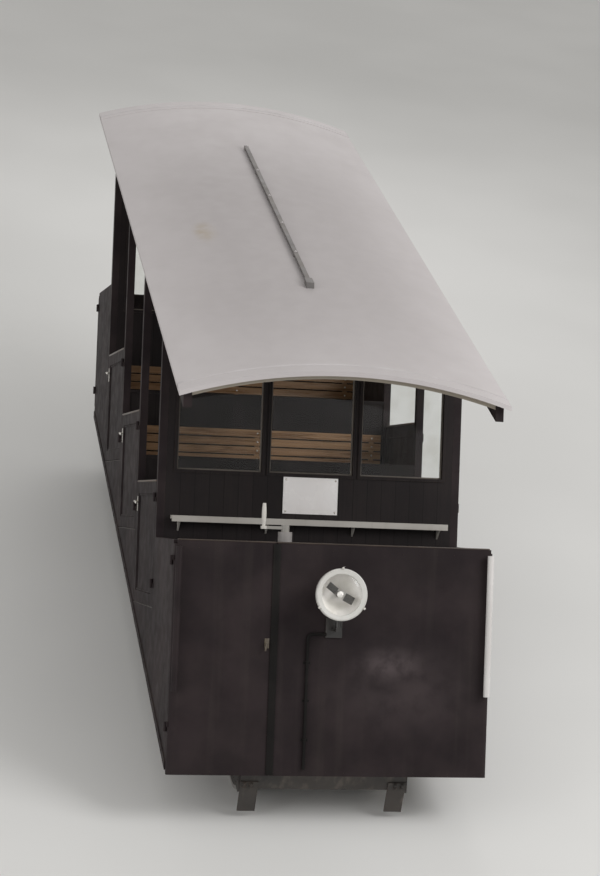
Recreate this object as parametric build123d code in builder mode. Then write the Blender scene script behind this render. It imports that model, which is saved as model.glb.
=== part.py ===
from build123d import *
import os
from math import asin, cos, degrees, radians, sin, tan

# A funicular car for a steep straight line of metre gauge. Sizes are in millimetres.
# Frame of the part: +Y runs uphill along the rails, +X to the right when looking uphill,
# +Z is square to the rails. The origin lies at rail level, midway between the two axles.
# The coachwork stands upright on the slope, so most of it is given by u, the level
# distance uphill from the outer face of the lower apron, and by w, the height above the
# rails at that face.

# Line
grade_angle = 27.5
gauge = 1000
rail_head_width = 52

# Wheels and axles
wheel_radius = 300
flange_height = 25
flange_thickness = 26
tread_width = 66
drum_width = 150
hub_radius = 92
hub_width = 150
wheel_web = 26
web_lean = 14
rim_depth = 46
rim_chamfer = 6
wheel_holes = 6
wheel_hole_radius = 46
axle_radius = 60
axle_waist = 52
journal_radius = 45
fit_gap = 0.3

# Coachwork, level lengths and upright heights
platform_length = 970
compartment_length = 1100
compartments = 3
body_width = 2350
floor_thickness = 44
wheel_room = 19
axle_from_step = 527
upper_axle_step = 3
apron_rise = 1080
apron_thickness = 50
apron_skin = 20
apron_frame = 80
apron_corner = 24
cap_height = 26
cap_overhang = 9
skirt_thickness = 40
foot_bead_height = 60
foot_bead_depth = 9
post_size = 60
bulkhead_thickness = 60
sill_rise = 1050
upper_sill_rise = 880
window_height = 870
window_bar = 60
window_margin = 80
sash_width = 22
sash_depth = 10
glass_thickness = 8
headroom = 2250

# Seats
seat_height = 450
seat_depth = 430
seat_back_rise = 1150
partition_thickness = 36
slat_width = 62
slat_gap = 12
slat_thickness = 24
back_slats = 5
back_slat_rise = 70
seat_end_gap = 20
bench_frame = 40
bench_frame_inset = 60

# Doors and gates
door_waist = 950
door_thickness = 38
door_gap = 8
door_stile = 90
door_panel_depth = 12
gate_width = 735
gate_gap = 6

# Hinges: pinned knuckles that stand off the outer faces
hinge_stand_off = 12
knuckle_radius = 11
knuckle_height = 34
hinge_pin_radius = 6
hinge_leaf = 44
hinge_leaf_thickness = 7
hinge_inset = 150

# Roof, one barrel vault parallel to the rails
roof_width = 2430
roof_camber = 190
roof_overhang = 200
roof_thickness = 28
roof_edging = 170
roof_edging_thickness = 5
cant_rail_depth = 110
cant_rail_end = 60
rib_depth = 55
rib_width = 40
rib_end = 90

# Ridge bar: its ends as shares of the roof's length
ridge_low = 0.25
ridge_high = 0.78
ridge_width = 36
ridge_thickness = 20
ridge_foot = 16
ridge_shoe = 90
ridge_shoe_height = 46
ridge_shoe_width = 61
ridge_feet = 6

# Underframe
plate_x = 612
plate_thickness = 16
plate_foot = 200
plate_end_gap = 80
frame_foot_inset = 170
lightening_radius = 70
slot_room = 25
slot_cheek = 40
slot_stay = 14
seat_flange = 40
flange_iron = 8
member_from_axle = 620
member_width = 70
member_web = 12
member_lift = 20
member_height = 130
guard_height = 34
guard_width = 90
guard_thickness = 12
outrigger_thickness = 12

# Axle boxes and springs
box_width = 160
box_height = 170
box_reach = 88
box_lip_width = 16
box_lip_thickness = 5
box_cover_radius = 66
box_cover_thickness = 15
journal_end_gap = 16
leaf_thickness = 13
leaf_count = 5
leaf_length = 560
leaf_step = 92
leaf_rise = 22
spring_width = 56
buckle_length = 84
buckle_edge = 5
eye_radius = 13
shackle_pin = 7
shackle_length = 70
shackle_width = 26
shackle_thickness = 8

slope = tan(radians(grade_angle))
rise_y = sin(radians(grade_angle))
run_y = cos(radians(grade_angle))

half_body = body_width / 2
body_length = 2 * platform_length + compartments * compartment_length
inner_side = half_body - skirt_thickness
between_posts = half_body - post_size
half_post = post_size / 2
half_bulkhead = bulkhead_thickness / 2

# Post lines, from the lower bulkhead to the upper one, and the edges of the floor's steps
post_lines = [platform_length + compartment_length * k for k in range(compartments + 1)]
step_edges = [0] + post_lines + [body_length]


def on_rails(u, w):
    """Turns level distance and upright height into distance along and above the rails."""
    return (u * run_y + w * rise_y, w * run_y - u * rise_y)


def axle_under_step(k):
    """Distance along the rails of an axle whose centre lies under floor step k."""
    return (step_edges[k] + axle_from_step + wheel_radius * rise_y) / run_y


# Axles: name and distance along the rails
lower_axle_y = axle_under_step(0)
upper_axle_y = axle_under_step(upper_axle_step)
axles = [("lower", lower_axle_y), ("upper", upper_axle_y)]
rail_x = (gauge + rail_head_width) / 2

# Steps of the floor: low and high u, floor height. The lowest floor clears the flange of
# the wheel under it, and each floor clears the rails by the same height at its uphill edge.
axle_height = lower_axle_y * rise_y + wheel_radius * run_y
lowest_floor = axle_height + wheel_radius + flange_height + wheel_room + floor_thickness
floor_clearance = lowest_floor - slope * platform_length
steps = [
    (step_edges[k], step_edges[k + 1], floor_clearance + slope * step_edges[k + 1])
    for k in range(compartments + 2)
]
lower_floor = steps[0][2]
upper_floor = steps[-1][2]
foot_height = floor_clearance - floor_thickness
lower_apron_top = lower_floor + apron_rise
upper_apron_top = upper_floor + apron_rise
eaves_height = lower_floor + headroom

# Origin of the level coachwork in the part's frame
corner = Vector(0, -(lower_axle_y + upper_axle_y) / 2, 0)
# Level plane: local x, y and z are X, u and w.
LEVEL = Plane(origin=corner, x_dir=(1, 0, 0), z_dir=(0, rise_y, run_y))
# Upright plane across the car: local x and y are X and w, and it faces downhill.
ACROSS = Plane(origin=corner, x_dir=(1, 0, 0), z_dir=(0, -run_y, rise_y))
# Upright plane along the car: local x and y are u and w, and it faces +X.
ALONG = Plane(origin=corner, x_dir=(0, run_y, -rise_y), z_dir=(1, 0, 0))
# Plane along the rails: local x and y are the distance along the rails and the height
# square to them, and it faces +X.
RAILS = Plane(origin=corner, x_dir=(0, 1, 0), z_dir=(1, 0, 0))
# Plane square to the rails: local x and y are X and the height, and it faces downhill.
SQUARE = Plane(origin=corner, x_dir=(1, 0, 0), z_dir=(0, -1, 0))

half_roof = roof_width / 2
roof_radius = (half_roof ** 2 + roof_camber ** 2) / (2 * roof_camber)
roof_centre = eaves_height + roof_camber - roof_radius
roof_lower_u = -roof_overhang
roof_upper_u = body_length + roof_overhang

# Ends of the side plates along the rails
frame_lower_y = (frame_foot_inset + plate_foot * rise_y) / run_y
frame_upper_y = (body_length - frame_foot_inset + plate_foot * rise_y) / run_y
outer_plate_x = plate_x + plate_thickness

# Hinge lines of the doors, one just uphill of each post that has a door, and the heights
# of their two hinges
door_hinges = []
for k in range(compartments):
    low = steps[k + 1][2] + hinge_inset
    high = steps[k + 1][2] + door_waist - hinge_inset
    door_hinges.append((post_lines[k] + half_post + door_gap / 2, (low, high)))

# Hinge lines of the two gates at the left corners, the heights of their hinges, and the
# way in which the gates lie from them
gate_line = apron_thickness + gate_gap / 2
gate_hinges = [
    (gate_line, (foot_height + 2 * hinge_inset, lower_apron_top - hinge_inset), -1),
    (body_length - gate_line, (upper_floor + hinge_inset, upper_apron_top - hinge_inset), 1),
]


def board(x, u, w, mode=Mode.ADD):
    """A squared board, level and upright: x, u and w hold its low and high sides."""
    with BuildSketch(LEVEL.offset(w[0])) as outline:
        with Locations(((x[0] + x[1]) / 2, (u[0] + u[1]) / 2)):
            Rectangle(x[1] - x[0], u[1] - u[0])
    extrude(outline.sketch, amount=w[1] - w[0], mode=mode)


def bar(x, y, z, mode=Mode.ADD):
    """A squared bar of the underframe: x, y and z hold its low and high sides."""
    with BuildSketch(Plane(corner).offset(z[0])) as outline:
        with Locations(((x[0] + x[1]) / 2, (y[0] + y[1]) / 2)):
            Rectangle(x[1] - x[0], y[1] - y[0])
    extrude(outline.sketch, amount=z[1] - z[0], mode=mode)


def upright_rod(x, u, w, radius, mode=Mode.ADD):
    """A round upright rod at x and u: w holds its low and high ends."""
    with BuildSketch(LEVEL.offset(w[0])) as outline:
        with Locations((x, u)):
            Circle(radius)
    extrude(outline.sketch, amount=w[1] - w[0], mode=mode)


def cross_rod(y, z, x, radius, mode=Mode.ADD):
    """A round rod across the underframe at y and z: x holds its low and high ends."""
    with BuildSketch(RAILS.offset(x[0])) as outline:
        with Locations((y, z)):
            Circle(radius)
    extrude(outline.sketch, amount=x[1] - x[0], mode=mode)


def cut_plate(plane, points, thickness, mode=Mode.ADD):
    """A flat plate with straight edges, drawn on a plane and raised from it."""
    with BuildSketch(plane) as outline:
        with BuildLine():
            Polyline(*points, close=True)
        make_face()
    extrude(outline.sketch, amount=thickness, mode=mode)


def vault_side(drop, x):
    """Height of the vault at x, for a surface that lies drop below its top."""
    return roof_centre + ((roof_radius - drop) ** 2 - x ** 2) ** 0.5


def vault_run(drop, depth, side_x, low_u, high_u):
    """A curved band across the car, drop below the roof's top, from low_u to high_u."""
    with BuildSketch(ACROSS) as outline:
        with BuildLine():
            top = vault_side(drop, side_x)
            foot = vault_side(drop + depth, side_x)
            crown = roof_centre + roof_radius - drop
            ThreePointArc((-side_x, top), (0, crown), (side_x, top))
            Line((side_x, top), (side_x, foot))
            ThreePointArc((side_x, foot), (0, crown - depth), (-side_x, foot))
            Line((-side_x, foot), (-side_x, top))
        make_face()
    moved = outline.sketch.moved(Location((0, low_u / run_y, 0)))
    extrude(moved, amount=(high_u - low_u) / run_y, dir=(0, 1, 0))


def cut_above_roof():
    """Takes away what rises past the underside of the roof, along the whole car."""
    with BuildSketch(ACROSS) as outline:
        with BuildLine():
            side = vault_side(roof_thickness, half_roof)
            crown = roof_centre + roof_radius - roof_thickness
            ThreePointArc((-half_roof, side), (0, crown), (half_roof, side))
            top = eaves_height + 2 * body_length
            Polyline((half_roof, side), (half_roof, top), (-half_roof, top), (-half_roof, side))
        make_face()
    reach = 2 * body_length / run_y
    extrude(outline.sketch, amount=reach, dir=(0, 1, 0), both=True, mode=Mode.SUBTRACT)


def hinge_ring(side, u, w, way):
    """One knuckle with its leaf; way is the direction in u in which the leaf runs."""
    upright_rod(side * (half_body + hinge_stand_off), u, (w, w + knuckle_height), knuckle_radius)
    leaf_x = sorted((side * half_body, side * (half_body + hinge_leaf_thickness)))
    board(leaf_x, sorted((u, u + way * hinge_leaf)), (w, w + knuckle_height))


def fixed_hinge(side, u, w, way):
    """Lower knuckle on the post or wall, with the pin that stands up from it."""
    hinge_ring(side, u, w, way)
    upright_rod(side * (half_body + hinge_stand_off), u, (w, w + 2 * knuckle_height), hinge_pin_radius)


def swinging_hinge(side, u, w, way):
    """Upper knuckle on the door or gate, bored for the pin and resting on the lower one."""
    seat = w + knuckle_height + fit_gap
    hinge_ring(side, u, seat, way)
    bore = hinge_pin_radius + fit_gap
    upright_rod(side * (half_body + hinge_stand_off), u, (seat, seat + knuckle_height), bore, Mode.SUBTRACT)


def save(name, builder):
    """Labels a finished piece and writes it under its own name."""
    builder.part.label = name
    export_step(builder.part, "parts/" + name + ".step")


os.makedirs("parts", exist_ok=True)

# Wheelsets. The left wheels have two flanges, the right ones are plain drums that roll
# over the crossings of the passing place.
wheel_seat = axle_radius + fit_gap / 3
rim_radius = wheel_radius - rim_depth


def wheel(name, y, side, width, flanged):
    """One cast wheel turned about its axle: a rim, a dished web with holes and a hub."""
    middle = corner + Vector(side * rail_x, y, wheel_radius)
    half = width / 2
    half_web = wheel_web / 2
    half_hub = hub_width / 2
    cut = rim_chamfer
    tread_edge = half - flange_thickness if flanged else half
    crest = wheel_radius + flange_height if flanged else wheel_radius
    with BuildPart() as cast:
        with BuildSketch(Plane(origin=middle, x_dir=(1, 0, 0), z_dir=(0, -1, 0))) as section:
            with BuildLine():
                near = [(half, rim_radius), (half, crest - cut), (half - cut, crest)]
                if flanged:
                    near += [(tread_edge + cut, crest), (tread_edge, wheel_radius)]
                far = [(-x, r) for x, r in reversed(near)]
                hub = [
                    (half_web, rim_radius),
                    (half_web + web_lean, hub_radius),
                    (half_hub, hub_radius),
                    (half_hub, wheel_seat),
                ]
                hub_far = [(-x, r) for x, r in hub]
                Polyline(*reversed(hub), *near, *far, *hub_far, close=True)
            make_face()
        revolve(section.sketch, axis=Axis(middle, (1, 0, 0)))
        with BuildSketch(RAILS.offset(side * rail_x - hub_width)) as holes:
            with Locations((y, wheel_radius)):
                with PolarLocations((hub_radius + rim_radius) / 2, wheel_holes):
                    Circle(wheel_hole_radius)
        extrude(holes.sketch, amount=2 * hub_width, mode=Mode.SUBTRACT)
    save(name, cast)


hub_end = rail_x + hub_width / 2
hub_inner = rail_x - hub_width / 2 - slot_room
box_end = plate_x + box_reach
journal_end = box_end - journal_end_gap
for place, y in axles:
    wheel("flanged_wheel_" + place, y, -1, tread_width + 2 * flange_thickness, True)
    wheel("drum_wheel_" + place, y, 1, drum_width, False)
    with BuildPart() as axle:
        with BuildSketch(SQUARE.offset(-y)) as profile:
            with BuildLine():
                journal = wheel_radius + journal_radius
                seat = wheel_radius + axle_radius
                waist = wheel_radius + axle_waist
                half_axle = [
                    (hub_inner - slot_room, waist),
                    (hub_inner, seat),
                    (hub_end, seat),
                    (hub_end, journal),
                    (journal_end, journal),
                    (journal_end, wheel_radius),
                ]
                Polyline(*half_axle, *[(-x, z) for x, z in reversed(half_axle)], close=True)
            make_face()
        revolve(profile.sketch, axis=Axis(corner + Vector(0, y, wheel_radius), (1, 0, 0)))
    save("axle_" + place, axle)

# Side plates of the underframe. Each has a sawtooth top that carries the stepped floors,
# round lightening holes, a slot with a stay under it for each axle box, and outer flanges.
floor_seats = [(u0, u1, w - floor_thickness) for u0, u1, w in steps]
slot_top = wheel_radius + box_height / 2 + slot_room
slot_width = box_width + 2 * fit_gap
hole_share = 0.36
hole_drop_share = 0.17
with BuildPart() as plates:
    for side in (-1, 1):
        inner_x = plate_x if side > 0 else -outer_plate_x
        flange_x = sorted((side * outer_plate_x, side * (outer_plate_x + seat_flange)))
        with BuildSketch(RAILS.offset(inner_x)) as outline:
            with BuildLine():
                teeth = []
                for u0, u1, seat in floor_seats:
                    low_u = max(u0 + half_bulkhead, plate_end_gap)
                    high_u = min(u1 + half_bulkhead, body_length - plate_end_gap)
                    teeth += [on_rails(low_u, seat), on_rails(high_u, seat)]
                Polyline((frame_lower_y, plate_foot), *teeth, (frame_upper_y, plate_foot), close=True)
            make_face()
            for place, y in axles:
                with Locations((y, (plate_foot + slot_top) / 2)):
                    Rectangle(slot_width, slot_top - plate_foot, mode=Mode.SUBTRACT)
            for u0, u1, seat in floor_seats:
                step = u1 - u0
                with Locations(on_rails(u0 + hole_share * step, seat - hole_drop_share * step)):
                    Circle(lightening_radius, mode=Mode.SUBTRACT)
        extrude(outline.sketch, amount=plate_thickness)
        for place, y in axles:
            reach = slot_width / 2 + slot_cheek
            stay_x = (inner_x, inner_x + plate_thickness)
            bar(stay_x, (y - reach, y + reach), (plate_foot - slot_stay, plate_foot))
        for u0, u1, seat in floor_seats:
            low_u = max(u0 + half_bulkhead, plate_end_gap)
            high_u = min(u1, body_length - plate_end_gap)
            board(flange_x, (low_u, high_u), (seat - flange_iron, seat))
save("frame_plates", plates)

# Cross members, pressed channels between the side plates
member_low = plate_foot + member_lift
member_high = member_low + member_height
cross_members = [
    frame_lower_y + guard_thickness,
    lower_axle_y + member_from_axle,
    (lower_axle_y + upper_axle_y - member_width) / 2,
    upper_axle_y - member_from_axle - member_width,
    upper_axle_y + member_from_axle,
    frame_upper_y - member_width - guard_thickness,
]
with BuildPart() as crossing:
    for y in cross_members:
        bar((-plate_x, plate_x), (y, y + member_width), (member_low, member_high))
        bar(
            (member_web - plate_x, plate_x - member_web),
            (y + member_web, y + member_width),
            (member_low + member_web, member_high - member_web),
            Mode.SUBTRACT,
        )
save("cross_members", crossing)

# Outriggers from the side plates to the side walls, two under each floor. Each row: how
# far it stands from the step's low (1) or high (-1) edge, its depth at the plate and at
# the wall.
outriggers = [(1, 110, 190, 60), (-1, 150, 58, 40)]
with BuildPart() as arms:
    for u0, u1, seat in floor_seats:
        for way, inset, deep, shallow in outriggers:
            arm_u = u0 + inset if way > 0 else u1 - inset
            for side in (-1, 1):
                shape = [
                    (side * outer_plate_x, seat - flange_iron),
                    (side * (outer_plate_x + seat_flange), seat - flange_iron),
                    (side * (outer_plate_x + seat_flange), seat),
                    (side * inner_side, seat),
                    (side * inner_side, seat - shallow),
                    (side * outer_plate_x, seat - deep),
                ]
                cut_plate(ACROSS.offset(-arm_u), shape, -outrigger_thickness)
save("outriggers", arms)

# Axle boxes: a block with lips that run on both faces of the side plate, and a round cover
# over the journal
box_low = wheel_radius - box_height / 2
box_high = wheel_radius + box_height / 2
inner_lip = plate_x - fit_gap - box_lip_thickness
outer_lip = outer_plate_x + fit_gap
lip_reach = box_width / 2 + box_lip_width
with BuildPart() as boxes:
    for place, y in axles:
        for side in (-1, 1):
            body_x = sorted((side * inner_lip, side * box_end))
            bar(body_x, (y - box_width / 2, y + box_width / 2), (box_low, box_high))
            for lip in (inner_lip, outer_lip):
                lip_x = sorted((side * lip, side * (lip + box_lip_thickness)))
                bar(lip_x, (y - lip_reach, y + lip_reach), (box_low, box_high))
            cover_x = sorted((side * box_end, side * (box_end + box_cover_thickness)))
            cross_rod(y, wheel_radius, cover_x, box_cover_radius)
        bore_x = journal_end + journal_end_gap / 4
        cross_rod(y, wheel_radius, (-bore_x, bore_x), journal_radius + fit_gap, Mode.SUBTRACT)
save("axle_boxes", boxes)

# Leaf springs over the axle boxes: leaves that get longer upwards, bent up at their ends,
# held by a buckle, with eyes for the shackles
spring_x = (outer_lip + box_lip_thickness + box_end) / 2
spring_foot = box_high
leaf_curve = ((leaf_length / 2) ** 2 + leaf_rise ** 2) / (2 * leaf_rise)
top_leaf = leaf_curve - (leaf_count - 0.5) * leaf_thickness
eye_y = top_leaf * sin(leaf_length / 2 / leaf_curve)
eye_z = spring_foot + leaf_curve - top_leaf * cos(leaf_length / 2 / leaf_curve)
half_spring = spring_width / 2


def leaf_arc(y, radius, reach):
    """One face of a leaf: an arc about a point high over the axle box."""
    far = (radius * sin(reach / leaf_curve), radius * cos(reach / leaf_curve))
    centre_z = spring_foot + leaf_curve
    ThreePointArc((y - far[0], centre_z - far[1]), (y, centre_z - radius), (y + far[0], centre_z - far[1]))
    return (y - far[0], centre_z - far[1]), (y + far[0], centre_z - far[1])


with BuildPart() as springs:
    for place, y in axles:
        for side in (-1, 1):
            low_x = side * spring_x - half_spring
            for leaf in range(leaf_count):
                reach = (leaf_length - leaf_step * (leaf_count - 1 - leaf)) / 2
                outer = leaf_curve - leaf * leaf_thickness
                with BuildSketch(RAILS.offset(low_x)) as blade:
                    with BuildLine():
                        outer_ends = leaf_arc(y, outer, reach)
                        inner_ends = leaf_arc(y, outer - leaf_thickness, reach)
                        Line(outer_ends[0], inner_ends[0])
                        Line(outer_ends[1], inner_ends[1])
                    make_face()
                extrude(blade.sketch, amount=spring_width)
            for way in (-1, 1):
                eye_x = (low_x, low_x + spring_width)
                cross_rod(y + way * eye_y, eye_z, eye_x, eye_radius)
                cross_rod(y + way * eye_y, eye_z, eye_x, shackle_pin + fit_gap, Mode.SUBTRACT)
            bar(
                (low_x - buckle_edge, low_x + spring_width + buckle_edge),
                (y - buckle_length / 2, y + buckle_length / 2),
                (spring_foot, spring_foot + leaf_count * leaf_thickness + buckle_edge),
            )
save("leaf_springs", springs)

# Shackles that hang the springs' ends from pins in the side plates
link_gap = 1
inner_link = spring_x - half_spring - link_gap - shackle_thickness
outer_link = spring_x + half_spring + link_gap
pin_end = outer_link + shackle_thickness + 4 * link_gap
with BuildPart() as shackles:
    for place, y in axles:
        for side in (-1, 1):
            for way in (-1, 1):
                end_y = y + way * eye_y
                for link in (inner_link, outer_link):
                    link_x = sorted((side * link, side * (link + shackle_thickness)))
                    with BuildSketch(RAILS.offset(link_x[0])) as strap:
                        with Locations((end_y, eye_z - shackle_length / 2)):
                            SlotCenterToCenter(shackle_length, shackle_width, rotation=90)
                    extrude(strap.sketch, amount=shackle_thickness)
                cross_rod(end_y, eye_z, sorted((side * inner_link, side * pin_end)), shackle_pin)
                root_x = sorted((side * outer_plate_x, side * pin_end))
                cross_rod(end_y, eye_z - shackle_length, root_x, shackle_pin)
save("spring_shackles", shackles)

# Rail brakes on the left rail only, beside the wheels with two flanges, because the right
# rail is broken at the passing place. Two jaws turn on pins in a hanger, and a screw
# spindle spreads their arms. Rows of the jaw: distance from the rail's middle, height.
jaw_thickness = 40
jaw_gap = 7
jaw_pin = 12
jaw_pin_height = 118
jaw_pin_spread = 46
jaw_arm = 24
jaw_heel = 40
jaw_toe = 16
hanger_thickness = 12
hanger_corner = 20
jaw_face = rail_head_width / 2 + jaw_gap
jaw_top = member_high
jaw_rows = [
    (jaw_face, -flange_height),
    (jaw_face + jaw_arm, -flange_height),
    (jaw_face + 1.5 * jaw_arm, jaw_heel),
    (jaw_pin_spread + jaw_arm, jaw_pin_height),
    (jaw_pin_spread + jaw_arm, jaw_top),
    (jaw_pin_spread, jaw_top),
    (jaw_pin_spread - jaw_arm, jaw_pin_height),
    (jaw_face + jaw_toe / 2, 2 * jaw_toe),
    (jaw_face, jaw_toe),
]
with BuildPart() as brakes:
    for member in (cross_members[1], cross_members[3]):
        near = SQUARE.offset(-member)
        hanger_height = member_high - jaw_pin_height + 2 * hanger_corner
        with BuildSketch(near) as hanger:
            with Locations((-rail_x, member_high - hanger_height / 2)):
                RectangleRounded(2 * (jaw_pin_spread + jaw_arm), hanger_height, hanger_corner)
        extrude(hanger.sketch, amount=hanger_thickness)
        face = near.offset(hanger_thickness + fit_gap)
        for way in (-1, 1):
            with BuildSketch(face) as jaw:
                with BuildLine():
                    Polyline(*[(way * x - rail_x, z) for x, z in jaw_rows], close=True)
                make_face()
                with Locations((way * jaw_pin_spread - rail_x, jaw_pin_height)):
                    Circle(jaw_pin + fit_gap, mode=Mode.SUBTRACT)
            extrude(jaw.sketch, amount=jaw_thickness)
        with BuildSketch(near) as pins:
            for way in (-1, 1):
                with Locations((way * jaw_pin_spread - rail_x, jaw_pin_height)):
                    Circle(jaw_pin)
        extrude(pins.sketch, amount=hanger_thickness + jaw_thickness + jaw_pin)
        spindle_y = member - hanger_thickness - fit_gap - jaw_thickness / 2
        spindle_half = jaw_pin_spread + jaw_arm + jaw_gap
        spindle_x = (-rail_x - spindle_half, spindle_half - rail_x)
        cross_rod(spindle_y, jaw_top - jaw_arm, spindle_x, jaw_pin)
save("rail_brakes", brakes)

# Brake rod over the cross members, with guides, and a drop link up to each brake column
column_x = -330
column_from_apron = 200
rod_radius = 11
drop_link_radius = 13
rod_lift = 20
rod_guide = 34
rod_z = member_high + rod_lift
column_places = [
    (apron_thickness + column_from_apron, floor_seats[0][2]),
    (body_length - apron_thickness - column_from_apron, floor_seats[-1][2]),
]
rod_ends = [(u + rod_z * rise_y) / run_y for u, seat in column_places]
with BuildPart() as rod:
    with BuildSketch(SQUARE.offset(-rod_ends[1])) as section:
        with Locations((column_x, rod_z)):
            Circle(rod_radius)
    extrude(section.sketch, amount=rod_ends[1] - rod_ends[0])
    for y in cross_members[1:5]:
        guide_x = (column_x - rod_guide / 2, column_x + rod_guide / 2)
        guide_y = (y + member_web, y + member_web + rod_guide)
        bar(guide_x, guide_y, (member_high, rod_z + rod_guide / 2))
    for u, seat in column_places:
        upright_rod(column_x, u, ((rod_z + u * rise_y) / run_y, seat), drop_link_radius)
save("brake_rod", rod)

# Guards that sweep the rails before the wheels, bolted to the end cross members
with BuildPart() as guards:
    for y in (frame_lower_y, frame_upper_y - guard_thickness):
        for side in (-1, 1):
            guard_x = sorted((side * (rail_x - guard_width / 2), side * plate_x))
            bar(guard_x, (y, y + guard_thickness), (guard_height, member_low + member_height / 2))
save("rail_guards", guards)

# Clevis for the haul rope's socket, at the uphill end
pin_radius = 25
ear_thickness = 24
clevis_half = 60
ear_length = 190
clevis_y = cross_members[-1] + member_width
clevis_z = (member_low + member_high) / 2
ear_width = 4 * pin_radius
with BuildPart() as draw:
    bar((-clevis_half, clevis_half), (clevis_y, clevis_y + ear_thickness), (member_low, member_high))
    for x in (-clevis_half, clevis_half - ear_thickness):
        ear_z = (clevis_z - ear_width / 2, clevis_z + ear_width / 2)
        bar((x, x + ear_thickness), (clevis_y, clevis_y + ear_length - ear_width / 2), ear_z)
        cross_rod(clevis_y + ear_length - ear_width / 2, clevis_z, (x, x + ear_thickness), ear_width / 2)
    eye_line = clevis_y + ear_length - ear_width / 2
    cross_rod(eye_line, clevis_z, (-clevis_half, clevis_half), pin_radius, Mode.SUBTRACT)
save("rope_clevis", draw)

# Floors, one on each step
gate_clear = apron_thickness + gate_gap
with BuildPart() as floors:
    for k, (u0, u1, height) in enumerate(steps):
        low = u0 + half_bulkhead if k > 0 else gate_clear
        high = u1 - half_bulkhead if k <= compartments else body_length - gate_clear
        board((-inner_side, inner_side), (low, high), (height - floor_thickness, height))
save("floors", floors)

# Side walls: a skirt below the floors, with a beaded foot parallel to the rails, and fixed
# waist panels with caps beside the two platforms
with BuildPart() as walls:
    for side in (-1, 1):
        inner_x = inner_side if side > 0 else -half_body
        low_u = apron_thickness + (gate_gap if side < 0 else 0)
        high_u = body_length - low_u
        lower_post = post_lines[0] - half_post
        upper_post = post_lines[-1] + half_post
        points = [(low_u, foot_height + slope * low_u), (low_u, lower_apron_top)]
        points += [(lower_post, lower_apron_top)]
        for k in range(compartments):
            points += [(post_lines[k] - half_post, steps[k + 1][2])]
            points += [(post_lines[k + 1] - half_post, steps[k + 1][2])]
        points += [(post_lines[-1] - half_post, upper_floor), (upper_post, upper_floor)]
        points += [(upper_post, upper_apron_top), (high_u, upper_apron_top)]
        points += [(high_u, foot_height + slope * high_u)]
        cut_plate(ALONG.offset(inner_x), points, skirt_thickness)
        bead_x = half_body if side > 0 else -half_body - foot_bead_depth
        bead = [
            (low_u, foot_height + slope * low_u),
            (low_u, foot_height + slope * low_u + foot_bead_height),
            (high_u, foot_height + slope * high_u + foot_bead_height),
            (high_u, foot_height + slope * high_u),
        ]
        cut_plate(ALONG.offset(bead_x), bead, foot_bead_depth)
        cap_x = sorted((side * (inner_side - cap_overhang), side * half_body))
        board(cap_x, (low_u, lower_post), (lower_apron_top, lower_apron_top + cap_height))
        board(cap_x, (upper_post, high_u), (upper_apron_top, upper_apron_top + cap_height))
        if side < 0:
            for hinge_u, heights, way in gate_hinges:
                for w in heights:
                    fixed_hinge(side, hinge_u, w, -way)
save("side_walls", walls)

# Posts at the four post lines, from the side walls up to the cant rails
rail_foot = eaves_height - roof_thickness - cant_rail_depth
with BuildPart() as posts:
    for side in (-1, 1):
        low_x = between_posts if side > 0 else -half_body
        for k, u in enumerate(post_lines):
            low_u = u - half_post
            high_u = u + half_post
            foot = steps[k + 1][2]
            shape = [
                (low_u, foot),
                (high_u, foot),
                (high_u, rail_foot + slope * high_u),
                (low_u, rail_foot + slope * low_u),
            ]
            cut_plate(ALONG.offset(low_x), shape, post_size)
        for hinge_u, heights in door_hinges:
            for w in heights:
                fixed_hinge(side, hinge_u, w, -1)
save("posts", posts)

# Cant rails under the eaves, cut to the underside of the roof
with BuildPart() as cant_rails:
    low_u = roof_lower_u + cant_rail_end
    high_u = roof_upper_u - cant_rail_end
    shape = [
        (low_u, rail_foot + slope * low_u),
        (low_u, rail_foot + slope * low_u + 2 * cant_rail_depth),
        (high_u, rail_foot + slope * high_u + 2 * cant_rail_depth),
        (high_u, rail_foot + slope * high_u),
    ]
    for low_x in (-half_body, between_posts):
        cut_plate(ALONG.offset(low_x), shape, post_size)
    cut_above_roof()
save("cant_rails", cant_rails)

# Roof: one vaulted sheet with an edging strip over each end
with BuildPart() as roof:
    vault_run(0, roof_thickness, half_roof, roof_lower_u, roof_upper_u)
    for low_u in (roof_lower_u, roof_upper_u - roof_edging):
        vault_run(-roof_edging_thickness, roof_edging_thickness, half_roof, low_u, low_u + roof_edging)
save("roof_sheet", roof)

# Ribs under the roof, between the cant rails
rib_lines = [roof_lower_u + rib_end, platform_length / 2] + post_lines[1:-1]
rib_lines += [body_length - platform_length / 2, roof_upper_u - rib_end]
with BuildPart() as ribs:
    for u in rib_lines:
        vault_run(roof_thickness, rib_depth, between_posts, u - rib_width / 2, u + rib_width / 2)
save("roof_ribs", ribs)

# Ridge bar on feet along the middle of the roof, with a shoe at its lower end
ridge_top = eaves_height + roof_camber
roof_length = roof_upper_u - roof_lower_u
ridge_low_u = roof_lower_u + ridge_low * roof_length
ridge_high_u = roof_lower_u + ridge_high * roof_length
foot_pitch = (ridge_high_u - ridge_low_u - ridge_width) / (ridge_feet - 1)


def ridge_piece(low_u, length, foot, top, width):
    """A length of bar along the ridge, between two heights above it."""
    high_u = low_u + length
    shape = [
        (low_u, ridge_top + slope * low_u + foot),
        (low_u, ridge_top + slope * low_u + top),
        (high_u, ridge_top + slope * high_u + top),
        (high_u, ridge_top + slope * high_u + foot),
    ]
    cut_plate(ALONG.offset(-width / 2), shape, width)


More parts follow.
